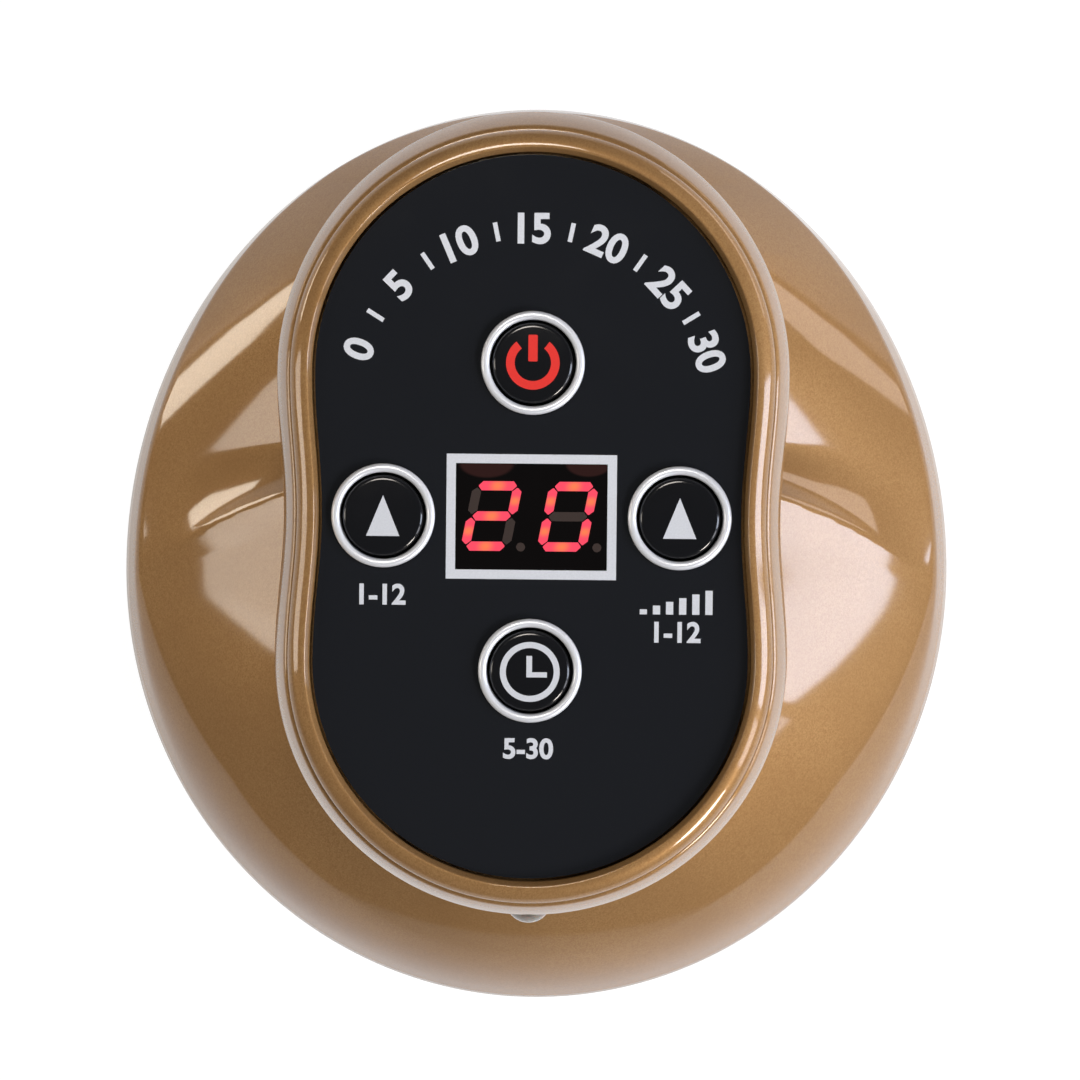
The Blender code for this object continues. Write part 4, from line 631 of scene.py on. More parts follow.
def baked(source: bpy.types.Object) -> Mesh:
    """Takes an object's evaluated mesh and removes the object.

    Args:
        source: a curve, text or mesh object, its modifiers included.

    Returns:
        Its mesh in world space.
    """
    bpy.context.view_layer.update()
    graph = bpy.context.evaluated_depsgraph_get()
    mesh = bpy.data.meshes.new_from_object(source.evaluated_get(graph))
    mesh.transform(source.matrix_world)
    work = bmesh.new()
    work.from_mesh(mesh)
    bpy.data.objects.remove(source, do_unlink=True)
    bpy.data.meshes.remove(mesh)
    bmesh.ops.remove_doubles(work, verts=work.verts, dist=DOUBLES)
    return work


def plate(loops: Sequence[Section], low: float, thickness: float) -> Mesh:
    """Makes a flat plate.

    Args:
        loops: its outlines and holes.
        low: height of its underside.
        thickness: its thickness.

    Returns:
        The plate.
    """
    curve = bpy.data.curves.new("plate", "CURVE")
    curve.dimensions = "2D"
    curve.fill_mode = "BOTH"
    curve.extrude = thickness / 2
    for loop in loops:
        spline = curve.splines.new("POLY")
        spline.points.add(len(loop) - 1)
        for point, (x, y) in zip(spline.points, loop):
            point.co = (x, y, 0.0, 1.0)
        spline.use_cyclic_u = True
    source = placed("plate", curve)
    source.location.z = low + thickness / 2
    return baked(source)


def drilled(work: Mesh, tools: Sequence[Mesh]) -> Mesh:
    """Cuts closed bodies out of a body.

    Args:
        work: the body.
        tools: what is cut out.

    Returns:
        The body after the cuts.
    """
    body = placed("body", mesh_of("body", work))
    cutters = [placed("cutter", mesh_of("cutter", tool)) for tool in tools]
    for cutter in cutters:
        cut = body.modifiers.new("Cut", "BOOLEAN")
        cut.operation = "DIFFERENCE"
        cut.solver = "EXACT"
        cut.object = cutter
    done = baked(body)
    for cutter in cutters:
        bpy.data.objects.remove(cutter, do_unlink=True)
    return done


def joined(parts: Sequence[Mesh]) -> Mesh:
    """Puts several bmeshes into the first one, as separate bodies of one mesh."""
    whole = parts[0]
    for part in parts[1:]:
        mesh = mesh_of("part", part)
        whole.from_mesh(mesh)
        bpy.data.meshes.remove(mesh)
    return whole


def lettering(text: str, height: float, place: Point, turn: float = 0.0) -> Mesh:
    """Makes plain printed numbers, as thick as a print.

    Args:
        text: what they say.
        height: how tall they are.
        place: their middle.
        turn: how far they are turned in the plane, in radians.

    Returns:
        The numbers as one mesh.
    """
    curve = bpy.data.curves.new("print", "FONT")
    curve.body = text
    curve.align_x = "CENTER"
    curve.extrude = INK / 2
    curve.size = height
    curve.offset = height * BOLD
    curve.resolution_u = 6
    work = baked(placed("print", curve))
    ys = [vert.co.y for vert in work.verts]
    xs = [vert.co.x for vert in work.verts]
    share = height / (max(ys) - min(ys))
    middle = Vector(((max(xs) + min(xs)) / 2, (max(ys) + min(ys)) / 2, 0.0))
    bmesh.ops.translate(work, verts=work.verts, vec=-middle)
    bmesh.ops.scale(work, verts=work.verts, vec=(share, share, 1.0))
    return moved(work, place, turn)


def finished(
    name: str,
    work: Mesh,
    finish: Finish,
    replaced: Sequence[str] = (),
    body: str = "housing",
    sharp: float = 32.0,
    bevel: float = 0.0,
) -> bpy.types.Object:
    """Makes a finished piece of the object.

    Args:
        name: the piece's name.
        work: its mesh, in place.
        finish: its finish.
        replaced: CAD nodes that it stands for.
        body: the CAD body that carries it.
        sharp: edges that turn more than this many degrees stay sharp.
        bevel: width of the edge rounding, if any.

    Returns:
        The piece.
    """
    piece = placed(name, mesh_of(name, work))
    piece.data.shade_smooth()
    piece.data.set_sharp_from_angle(angle=math.radians(sharp))
    piece.data.materials.append(finish.material())
    if bevel:
        edge = piece.modifiers.new("Edge", "BEVEL")
        edge.width = bevel
        edge.segments = 2
        edge.limit_method = "ANGLE"
        edge.angle_limit = math.radians(BEVEL_ANGLE)
        edge.harden_normals = True
    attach(piece, body)
    if replaced:
        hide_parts(*replaced)
    LOG.info("%s: %d faces, %s, on %s", name, len(piece.data.polygons), finish.name, body)
    return piece


# ---------------------------------------------------------------- outlines


@dataclass(frozen=True)
class HeadOutline:
    """The outline that everything in the head follows: two round lobes joined by a shallow waist."""

    spacing: float = 28.6 * MM
    pinch: float = 0.8 * MM
    shift: float = 4.4 * MM
    arc_share: float = 0.75
    columns: int = 256
    samples: int = 1440

    def point(self, share: float, radius: float) -> Pair:
        """A point of the outline.

        Args:
            share: how far round it lies, from 0 to 1.
            radius: the radius of the lobes.

        Returns:
            Its x and y.
        """
        half, along = divmod(2 * (share % 1.0), 1.0)
        if along <= self.arc_share:
            turn = math.pi * along / self.arc_share
            x, y = radius * math.cos(turn), self.spacing / 2 + radius * math.sin(turn)
        else:
            down = (along - self.arc_share) / (1 - self.arc_share)
            x = self.pinch * (1 - math.cos(2 * math.pi * down)) / 2 - radius
            y = self.spacing * (0.5 - down)
        side = -1 if half else 1
        return side * x, side * y + self.shift

    def loop(self, radius: float) -> list[Pair]:
        """The whole outline."""
        return [self.point(index / self.columns, radius) for index in range(self.columns)]

    def reaches(self, radius: float, ways: Sequence[float]) -> np.ndarray:
        """How far the outline lies from the head's middle.

        Args:
            radius: the radius of the lobes.
            ways: directions in radians.

        Returns:
            The distance in each direction.
        """
        around = [self.point(index / self.samples, radius) for index in range(self.samples)]
        found = np.array([math.atan2(y - self.shift, x) % (2 * math.pi) for x, y in around])
        reach = np.array([math.hypot(x, y - self.shift) for x, y in around])
        order = np.argsort(found)
        return np.interp(np.array(ways) % (2 * math.pi), found[order], reach[order], period=2 * math.pi)

    def swept(self, section: Section) -> Mesh:
        """Makes a closed ring that follows the outline, from a section of (lobe radius, height)."""
        rows = len(section)

        def place(around: float, along: float) -> Point:
            radius, height = section[round(along * rows) % rows]
            return (*self.point(around, radius), height)

        return wrapped(self.columns, rows, place)


OUTLINE = HeadOutline()


# ---------------------------------------------------------------- sub-assemblies


@dataclass(frozen=True)
class DomeBody:
    """The oval gold dome: full in front of a ridge at each side, hollowed for the fingers behind it.

    A shoulder is (inset, height) above the rim. Each corner pair runs from the back to the front, crown and
    bulge from the front to the finger rest, and the ridge pairs from the shoulder to the neck. Angles are in
    degrees, the ridge's counted from the side towards the back.
    """

    width: float = 90.4 * MM
    front: float = 47.2 * MM
    back: float = 50.6 * MM
    low: float = 19.0 * MM
    rim_rise: float = 8.0 * MM
    tuck: float = 3.2 * MM
    neck_rise: float = 29.0 * MM
    neck_radius: float = 21.0 * MM
    flare: float = 5.0 * MM
    knee: float = 2.6 * MM
    land: float = 0.6 * MM
    wall: float = 2.0 * MM
    shoulder: Pair = (1.65 * MM, 6.2 * MM)
    front_shoulder: Pair = (3.0 * MM, 9.5 * MM)
    back_shoulder: Pair = (0.6 * MM, 4.6 * MM)
    shoulder_fade: float = 30.0
    corner_start: Pair = (0.88, 0.3)
    corner_span: Pair = (0.025, 0.3)
    crown: Pair = (19.0 * MM, 15.8 * MM)
    crown_least: float = 13.5 * MM
    rest_pitch: float = 0.75
    bulge: Pair = (5.0, 4.0)
    ridge: Pair = (-2.5, 3.7)
    ridge_width: Pair = (12.0, 8.0)
    sharp: float = 40.0
    columns: int = 600
    tuck_rows: int = 8
    skirt_rows: int = 3
    corner_rows: int = 3
    face_rows: int = 40
    flare_rows: int = 10

    def egg_point(self, angle: float, inset: float) -> Pair:
        """A point of the body's plan outline, moved in by inset."""
        depth = self.back if math.sin(angle) > 0 else self.front
        shift = (self.back - self.front) / 2
        return (self.width / 2 - inset) * math.cos(angle), (depth - inset) * math.sin(angle) - shift

    def neck_points(self, radius: float) -> list[Pair]:
        """Points of the neck's outline that the body's outline points run up to, one for each column."""
        angles = [2 * math.pi * index / self.columns for index in range(self.columns)]
        across, along = radius, radius + OUTLINE.spacing / 2
        ways = [math.atan2(along * math.sin(angle), across * math.cos(angle)) for angle in angles]
        found = zip(OUTLINE.reaches(radius, ways), ways)
        return [(reach * math.cos(way), OUTLINE.shift + reach * math.sin(way)) for reach, way in found]

    def lean(self, angle: float, share: float) -> tuple[float, float, float]:
        """Where a point lies between the full front and the hollowed finger rest.

        Args:
            angle: the direction round the body.
            share: how far up the face, from the shoulder at 0 to the foot of the neck at 1.

        Returns:
            The shares of the finger rest, of the soft front shoulder and of the steep back one.
        """
        side = math.degrees(math.asin(math.sin(angle)))
        slope = (side - mixed(self.ridge, share * (2 - share))) / mixed(self.ridge_width, share)
        slope = min(max(slope, 0.0), 1.0)
        front = min(max((self.ridge[0] - side) / self.shoulder_fade, 0.0), 1.0)
        back = min(max((side - self.shoulder_fade) / self.shoulder_fade, 0.0), 1.0)
        return slope * (2 - slope), front, back

    def face_point(self, angle: float, share: float, reach: float) -> Pair:
        """A point of the face's section.

        Args:
            angle: the direction round the body.
            share: how far up the face.
            reach: how far in the foot of the neck lies from the rim.

        Returns:
            How far in it lies from the rim, and how high above it.
        """
        behind, front, back = self.lean(angle, share)
        low = Vector(self.shoulder).lerp(Vector(self.front_shoulder), front)
        low = low.lerp(Vector(self.back_shoulder), back)
        rest = min(self.crown[1], max(self.crown_least, self.shoulder[1] + self.rest_pitch * reach))
        chord = Vector((reach, mixed((self.crown[0], rest), behind))) - low
        lift = math.tan(math.radians(mixed(self.bulge, behind))) * share * (1 - share)
        point = low + chord * share + Vector((-chord.y, chord.x)) * lift
        return point.x, point.y

    def section(self, angle: float, reach: float) -> Section:
        """The section from the widest line to the neck's foot, its shoulder rounded, more so in front."""
        front = self.lean(angle, 0.0)[1]
        span = mixed(self.corner_span, front)
        low, far = (Vector(self.face_point(angle, share, reach)) for share in (0.0, span))
        near = low * mixed(self.corner_start, front)
        points = [tuple(near * (row / self.skirt_rows)) for row in range(self.skirt_rows)]
        for row in range(-self.corner_rows, self.face_rows + 1):
            share = row / self.face_rows
            if share < span:
                turn = (row + self.corner_rows) / (self.corner_rows + span * self.face_rows)
                points.append(tuple(near.lerp(low, turn).lerp(low.lerp(far, turn), turn)))
            else:
                points.append(self.face_point(angle, share, reach))
        return points

    def surface(self) -> Mesh:
        """Makes the outer surface, from its lower edge to the collar's top."""
        rim = self.low + self.rim_rise
        top = self.neck_rise - self.land
        shares = [row / self.flare_rows for row in range(self.flare_rows + 1)]
        necks = [self.neck_points(self.neck_radius + self.flare * (1 - share) ** 2) for share in shares]
        sections = []
        for column in range(self.columns):
            angle = 2 * math.pi * column / self.columns
            edge, foot = Vector(self.egg_point(angle, 0.0)), Vector(necks[0][column])
            reach = (foot - edge).length
            points = []
            for row in range(self.tuck_rows):
                turn = math.pi / 2 * row / self.tuck_rows
                inset = self.tuck * (1 - math.sin(turn))
                height = self.low + self.rim_rise * (1 - math.cos(turn))
                points.append((*self.egg_point(angle, inset), height))
            for inset, height in self.section(angle, reach):
                points.append((*edge.lerp(foot, inset / reach), rim + height))
            crown = points[-1][2] - rim
            for share, neck in zip(shares[1:], necks[1:]):
                height = crown + 2 * share * (1 - share) * self.knee + share**2 * (top - crown)
                points.append((*neck[column], rim + height))
            points.append((*necks[-1][column], rim + self.neck_rise))
            sections.append(points)
        rows = len(sections[0]) - 1

        def place(around: float, along: float) -> Point:
            return sections[round(around * self.columns) % self.columns][round(along * rows)]

        return wrapped(self.columns, rows, place)

    def build(self) -> None:
        """Makes the dome and gives it its wall."""
        shell = finished("dome", self.surface(), GOLD, ["dome_shell"], sharp=self.sharp)
        wall = shell.modifiers.new("Wall", "SOLIDIFY")
        wall.thickness = self.wall
        wall.offset = -1.0
        wall.use_even_offset = True


@dataclass(frozen=True)
class HeadShell:
    """The gold head: the flared tray on the neck and the bezel round the panel."""

    collar: float = 56.0 * MM
    gap: float = 0.3 * MM
    neck_radius: float = 21.0 * MM
    head_radius: float = 25.8 * MM
    flare: float = 2.6
    flare_rows: int = 28
    lip_z: float = 75.8 * MM
    top: float = 81.0 * MM
    draft: float = 1.3 * MM
    lip_width: float = 2.1 * MM
    lip_inner: float = 24.3 * MM
    back_reach: float = 0.65 * MM
    shelf_z: float = 78.7 * MM
    shelf_width: float = 1.6 * MM
    wall: float = 1.8 * MM
    wall_rows: int = 12
    plug_depth: float = 3.5 * MM
    plug_radius: float = 18.7 * MM
    plug_wall: float = 2.0 * MM
    hole_radius: float = 13.0 * MM
    floor_top: float = 58.3 * MM
    rounding: float = 0.45 * MM
    panel_top: float = 82.0 * MM
    bezel_low: float = 79.0 * MM
    bezel_inner: float = 21.9 * MM
    bezel_outer: float = 23.4 * MM
    bezel_brim: float = 24.1 * MM
    brim_height: float = 0.4 * MM
    crest_rise: float = 1.3 * MM
    crest_width: float = 0.4 * MM
    inner_rise: float = 0.2 * MM
    ledge_drop: float = 1.8 * MM
    ledge_width: float = 0.7 * MM
    ledge_height: float = 1.2 * MM
    bezel_rounding: float = 0.18 * MM
    socket_slot: Point = (0.0, 69.5 * MM, 9.5 * MM, 3.8 * MM, 1.88 * MM)
    slot_depth: Pair = (33.0 * MM, 12.0 * MM)
    lamp_hole: Point = (0.0, 72.6 * MM, 2.7 * MM)
    hole_depth: Pair = (-40.0 * MM, 14.0 * MM)

    def radius(self, height: float) -> float:
        """The outer lobe radius of the tray at a height."""
        low = self.collar + self.gap
        share = min(max((height - low) / (self.lip_z - low), 0.0), 1.0)
        return mixed((self.neck_radius, self.head_radius), share**self.flare)

    def tray_section(self) -> Section:
        """The tray's section, up its outside and down its inside."""
        low = self.collar + self.gap
        plug_low = self.collar - self.plug_depth
        lip = self.head_radius - self.lip_width
        outside = [mixed((low, self.lip_z), row / self.flare_rows) for row in range(self.flare_rows + 1)]
        shares = [row / self.wall_rows for row in range(1, self.wall_rows + 1)]
        inside = [mixed((self.shelf_z, self.floor_top), share) for share in shares]
        return [
            (self.plug_radius, plug_low),
            (self.plug_radius, low),
            *[(self.radius(height), height) for height in outside],
            (self.head_radius - self.draft, self.top),
            (lip, self.top),
            (lip, self.shelf_z),
            (lip - self.shelf_width, self.shelf_z),
            *[(self.radius(height) - self.wall, height) for height in inside],
            (self.hole_radius, self.floor_top),
            (self.hole_radius, low),
            (self.plug_radius - self.plug_wall, self.collar),
            (self.plug_radius - self.plug_wall, plug_low),
        ]

    def bezel_section(self) -> Section:
        """The bezel's section: a skirt, a brim, a long slope to the crest and a short one to the panel."""
        brim = self.top + self.gap
        foot = brim + self.brim_height
        crest = self.bezel_inner + self.crest_width
        slope = (self.bezel_brim - crest, self.panel_top + self.crest_rise - foot)
        ledge = self.panel_top - self.ledge_drop
        return [
            (self.bezel_outer, self.bezel_low),
            (self.bezel_outer, brim),
            (self.bezel_brim, brim),
            *arc((crest, foot), slope, (0.0, 90.0), 10),
            (self.bezel_inner, self.panel_top + self.inner_rise),
            (self.bezel_inner, ledge),
            (self.bezel_inner - self.ledge_width, ledge),
            (self.bezel_inner - self.ledge_width, ledge - self.ledge_height),
            (self.bezel_inner, ledge - self.ledge_height),
        ]

    def widened(self, work: Mesh) -> Mesh:
        """Moves the lip's outer edge out round the back lobe, where it hangs over the body."""
        middle = OUTLINE.shift + OUTLINE.spacing / 2
        for vert in work.verts:
            x, y = vert.co.x, vert.co.y - middle
            reach = math.hypot(x, y)
            if y > 0 and vert.co.z > self.collar and reach > self.lip_inner:
                share = (reach - self.lip_inner) / (self.head_radius - self.lip_inner)
                vert.co.y += self.back_reach * share * (y / reach) ** 2
        return work

    def build(self) -> None:
        """Makes the tray, with its openings for the charging socket and the indicator lamp, and the bezel."""
        slot = upright(plate([rectangle(*self.socket_slot)], *self.slot_depth))
        hole = upright(plate([circle(*self.lamp_hole)], *self.hole_depth))
        tray = self.widened(OUTLINE.swept(softened(self.tray_section(), self.rounding)))
        finished("head_tray_shell", drilled(tray, [slot, hole]), GOLD, ["head_tray"])
        bezel = OUTLINE.swept(softened(self.bezel_section(), self.bezel_rounding))
        finished("head_bezel_ring", bezel, GOLD, ["head_bezel"])


class Legend(Enum):
    """What is printed on each key."""

    POWER = "power"
    HEAT = "heat"
    SUCTION = "suction"
    TIME = "time"


KEY_PLACES = {
    Legend.POWER: (0.0, 19.66 * MM),
    Legend.HEAT: (-14.71 * MM, 4.4 * MM),
    Legend.SUCTION: (14.71 * MM, 4.4 * MM),
    Legend.TIME: (0.0, -10.86 * MM),
}


@dataclass(frozen=True)
class ControlPanel:
    """The black acrylic panel with its silver prints."""

    radius: float = 21.6 * MM
    low: float = 80.5 * MM
    top: float = 82.0 * MM
    edge: float = 0.1 * MM
    ring_hole: float = 4.9 * MM
    window: Point = (15.6 * MM, 11.1 * MM, 0.3 * MM)
    dial_centre: float = 14.6 * MM
    dial_radius: float = 18.4 * MM
    dial_sweep: Pair = (160.0, 20.0)
    dial_numbers: tuple[int, ...] = (0, 5, 10, 15, 20, 25, 30)
    number_height: float = 3.1 * MM
    tick: Pair = (0.45 * MM, 1.9 * MM)
    range_height: float = 2.1 * MM
    ranges: tuple[tuple[str, float, float], ...] = (
        ("1-12", -14.7 * MM, -3.4 * MM),
        ("1-12", 14.6 * MM, -6.9 * MM),
        ("5-30", -0.1 * MM, -18.6 * MM),
    )
    bars: int = 6
    bar_foot: Pair = (11.2 * MM, -5.15 * MM)
    bar_pitch: float = 1.3 * MM
    bar_width: float = 0.72 * MM
    bar_height: float = 0.5 * MM
    bar_rise: float = 0.38 * MM

    def dial(self) -> list[Mesh]:
        """The numbers round the upper edge, with a tick between each two."""
        prints = []
        steps = 2 * (len(self.dial_numbers) - 1)
        reach = (self.dial_radius, self.dial_radius)
        for index, (x, y) in enumerate(arc((0.0, self.dial_centre), reach, self.dial_sweep, steps)):
            lean = math.radians(mixed(self.dial_sweep, index / steps) - 90.0)
            if index % 2 == 0:
                number = str(self.dial_numbers[index // 2])
                prints.append(lettering(number, self.number_height, (x, y, self.top + INK / 2), lean))
            else:
                prints.append(moved(plate([rectangle(0, 0, *self.tick)], self.top, INK), (x, y, 0), lean))
        return prints

    def labels(self) -> list[Mesh]:
        """The ranges by the side keys and the lower key, and the rising bars of the suction steps."""
        level = self.top + INK / 2
        prints = [lettering(text, self.range_height, (x, y, level)) for text, x, y in self.ranges]
        for bar in range(self.bars):
            height = self.bar_height + self.bar_rise * bar
            x, y = self.bar_foot[0] + self.bar_pitch * bar, self.bar_foot[1] + height / 2
            prints.append(plate([rectangle(x, y, self.bar_width, height)], self.top, INK))
        return prints

    def build(self) -> None:
        """Makes the plate and its prints."""
        holes = [circle(x, y, self.ring_hole) for x, y in KEY_PLACES.values()]
        loops = [OUTLINE.loop(self.radius), *holes, rectangle(0, OUTLINE.shift, *self.window)]
        face = plate(loops, self.low, self.top - self.low)
        finished("panel_plate", face, ACRYLIC, ["control_panel"], bevel=self.edge)
        finished("panel_dial_print", joined(self.dial()), SILVER_INK)
        finished("panel_label_print", joined(self.labels()), SILVER_INK)


@dataclass(frozen=True)
class Display:
    """The window with its silver frame and two seven-segment digits."""

    size: Pair = (15.0 * MM, 10.5 * MM)
    rounding: float = 0.25 * MM
    frame_size: Pair = (16.9 * MM, 12.4 * MM)
    frame_gap: float = 0.03 * MM
    low: float = 80.5 * MM
    top: float = 82.0 * MM
    film: float = 0.06 * MM
    relief: float = 0.02 * MM
    digits: tuple[tuple[float, str], ...] = ((-3.94 * MM, "abged"), (3.62 * MM, "abcdef"))
    rise: float = 0.05 * MM
    half_height: float = 3.0 * MM
    half_width: float = 2.0 * MM
    across: float = 3.74 * MM
    upright: float = 2.6 * MM
    thickness: float = 0.92 * MM
    mitre: float = 0.36 * MM
    tip_thickness: float = 0.12
    corner_from: float = 0.8
    tip_from: float = 0.9
    slant: float = 0.193
    cells: int = 12
    glow_width: float = 0.3
    point: Point = (2.9 * MM, -3.0 * MM, 0.44 * MM)

    def segment(self, x: float, y: float, standing: bool, middle: Pair) -> Mesh:
        """Makes one segment with pointed ends.

        Args:
            x: its middle from the digit's middle, before the slant.
            y: the same, upwards.
            standing: whether it stands up.
            middle: the digit's middle.

        Returns:
            The segment, its UV running from the die to the tips.
        """
        length = self.upright if standing else self.across
        corner = length / 2 - self.mitre
        work = bmesh.new()
        bmesh.ops.create_grid(work, x_segments=self.cells, y_segments=2, size=1.0)
        layer = work.loops.layers.uv.new("segment")
        for face in work.faces:
            for loop in face.loops:
                loop[layer].uv = (loop.vert.co.x, loop.vert.co.y * self.glow_width)
        for vert in work.verts:
            share = abs(vert.co.x)
            tip = share > self.tip_from
            reach = length / 2 if tip else corner * min(share / self.corner_from, 1.0)
            along = math.copysign(reach, vert.co.x)
            across = vert.co.y * self.thickness / 2 * (self.tip_thickness if tip else 1.0)
            local_x, local_y = (across, along) if standing else (along, across)
            local_x, local_y = local_x + x, local_y + y
            vert.co = (middle[0] + local_x + self.slant * local_y, middle[1] + local_y, self.top)
        made = bmesh.ops.extrude_face_region(work, geom=work.faces)
        raised = [item for item in made["geom"] if isinstance(item, bmesh.types.BMVert)]
        bmesh.ops.translate(work, verts=raised, vec=(0, 0, self.relief))
        bmesh.ops.recalc_face_normals(work, faces=work.faces)
        return work

    def digit(self, x: float, lit: str) -> tuple[list[Mesh], list[Mesh]]:
        """The lit and the unlit segments of a digit, each with its letter from a to g."""
        places = {
            "a": (0.0, self.half_height, False),
            "b": (self.half_width, self.half_height / 2, True),
            "c": (self.half_width, -self.half_height / 2, True),
            "d": (0.0, -self.half_height, False),
            "e": (-self.half_width, -self.half_height / 2, True),
            "f": (-self.half_width, self.half_height / 2, True),
            "g": (0.0, 0.0, False),
        }
        middle = (x, OUTLINE.shift + self.rise)
        shining, dark = [], []
        for letter, place in places.items():
            group = shining if letter in lit else dark
            group.append(self.segment(*place, middle))
        across, up, radius = self.point
        dark.append(plate([circle(x + across, OUTLINE.shift + up, radius, 24)], self.top, self.relief))
        return shining, dark

    def build(self) -> None:
        """Makes the window, its frame and the digits."""
        pane = rectangle(0, OUTLINE.shift, *self.size, self.rounding)
        finished("window_pane", plate([pane], self.low, self.top - self.low), WINDOW, ["display_window"])
        outer = rectangle(0, OUTLINE.shift, *self.frame_size)
        inner = rectangle(0, OUTLINE.shift, *(side + 2 * self.frame_gap for side in self.size))
        finished("window_frame", plate([outer, inner], self.top, self.film), SILVER_INK)
        for index, (x, lit) in enumerate(self.digits, start=1):
            shining, dark = self.digit(x, lit)
            finished(f"digit_{index}_lit", joined(shining), LIT)
            finished(f"digit_{index}_unlit", joined(dark), UNLIT)


@dataclass(frozen=True)
class KeySet:
    """The four keys, each with its plated ring and printed legend."""

    key_radius: float = 4.0 * MM
    top: float = 82.7 * MM
    flat_radius: float = 3.5 * MM
    crown: float = 0.35 * MM
    rounding: float = 0.08 * MM
    sharp: float = 25.0
    flange_top: float = 79.3 * MM
    flange_low: float = 78.5 * MM
    flange_radius: float = 4.7 * MM
    stem_radius: float = 1.4 * MM
    stem_low: float = 78.0 * MM
    ring_outer: float = 5.15 * MM
    ring_inner: float = 4.3 * MM
    ring_sleeve: float = 4.6 * MM
    ring_low: float = 79.6 * MM
    ring_face: float = 82.3 * MM
    ring_top: float = 82.75 * MM
    ring_fullness: float = 0.8
    power_radii: Pair = (2.66 * MM, 1.80 * MM)
    power_sweep: Pair = (128.0, 412.0)
    power_bar: Point = (0.92 * MM, 2.64 * MM, 0.12 * MM)
    power_bar_up: float = 1.46 * MM
    clock_radii: Pair = (2.97 * MM, 2.37 * MM)
    clock_down: float = 0.1 * MM
    clock_hands: tuple[Pair, ...] = (
        (-0.34, 1.49),
        (-0.34, -0.64),
        (1.71, -0.64),
        (1.71, -0.12),
        (0.22, -0.12),
        (0.22, 1.49),
    )
    arrow: tuple[Pair, ...] = ((0.0, 2.02), (-1.65, -2.03), (1.65, -2.03))

    def ring_section(self) -> Section:
        """The ring's section: a rounded face on the panel and a sleeve through it."""
        sleeve = [(self.ring_sleeve, self.ring_face), (self.ring_sleeve, self.ring_low)]
        half, middle = (self.ring_outer - self.ring_inner) / 2, (self.ring_outer + self.ring_inner) / 2
        rise = self.ring_top - self.ring_face
        face = []
        for x, share in arc((middle, 0.0), (half, 1.0), (180.0, 0.0), 12):
            face.append((x, self.ring_face + rise * max(share, 0.0) ** self.ring_fullness))
        return [*sleeve, (self.ring_inner, self.ring_low), *face]

    def key_section(self) -> Section:
        """The key's section, from the middle of its face to the foot of its stem."""
        rim = (self.key_radius - self.flat_radius, self.crown)
        return [
            (0.0, self.top),
            *arc((self.flat_radius, self.top - self.crown), rim, (90.0, 0.0), 6),
            (self.key_radius, self.flange_top),
            (self.flange_radius, self.flange_top),
            (self.flange_radius, self.flange_low),
            (self.stem_radius, self.flange_low),
            (self.stem_radius, self.stem_low),
            (0.0, self.stem_low),
        ]

    def legend(self, which: Legend, x: float, y: float) -> tuple[list[Section], Finish]:
        """The outlines of what is printed on a key, and its ink.

        Args:
            which: the key.
            x: the key's middle.
            y: the same, upwards.

        Returns:
            Closed outlines, and the finish of the print.
        """
        if which is Legend.POWER:
            outer, inner = (arc((x, y), (reach, reach), self.power_sweep, 40) for reach in self.power_radii)
            return [outer + inner[::-1], rectangle(x, y + self.power_bar_up, *self.power_bar)], RED_INK
        sign = self.clock_hands if which is Legend.TIME else self.arrow
        outlines = [[(x + across * MM, y + up * MM) for across, up in sign]]
        if which is Legend.TIME:
            outlines += [circle(x, y - self.clock_down, radius) for radius in self.clock_radii]
        return outlines, KEY_INK

    def build(self) -> None:
        """Makes the rings, keys and legends."""
        for which, (x, y) in KEY_PLACES.items():
            label, button = which.value, f"{which.value}_button"
            ring = turned(self.ring_section(), (x, y, 0.0), closed=True)
            finished(f"{label}_trim_ring", ring, CHROME, [f"{label}_ring"])
            cap = turned(softened(self.key_section(), self.rounding, closed=False), (x, y, 0.0))
            finished(f"{label}_key_cap", cap, KEY_CAP, [f"{label}_key"], button, self.sharp)
            outlines, ink = self.legend(which, x, y)
            finished(f"{label}_legend", plate(outlines, self.top, INK), ink, body=button)


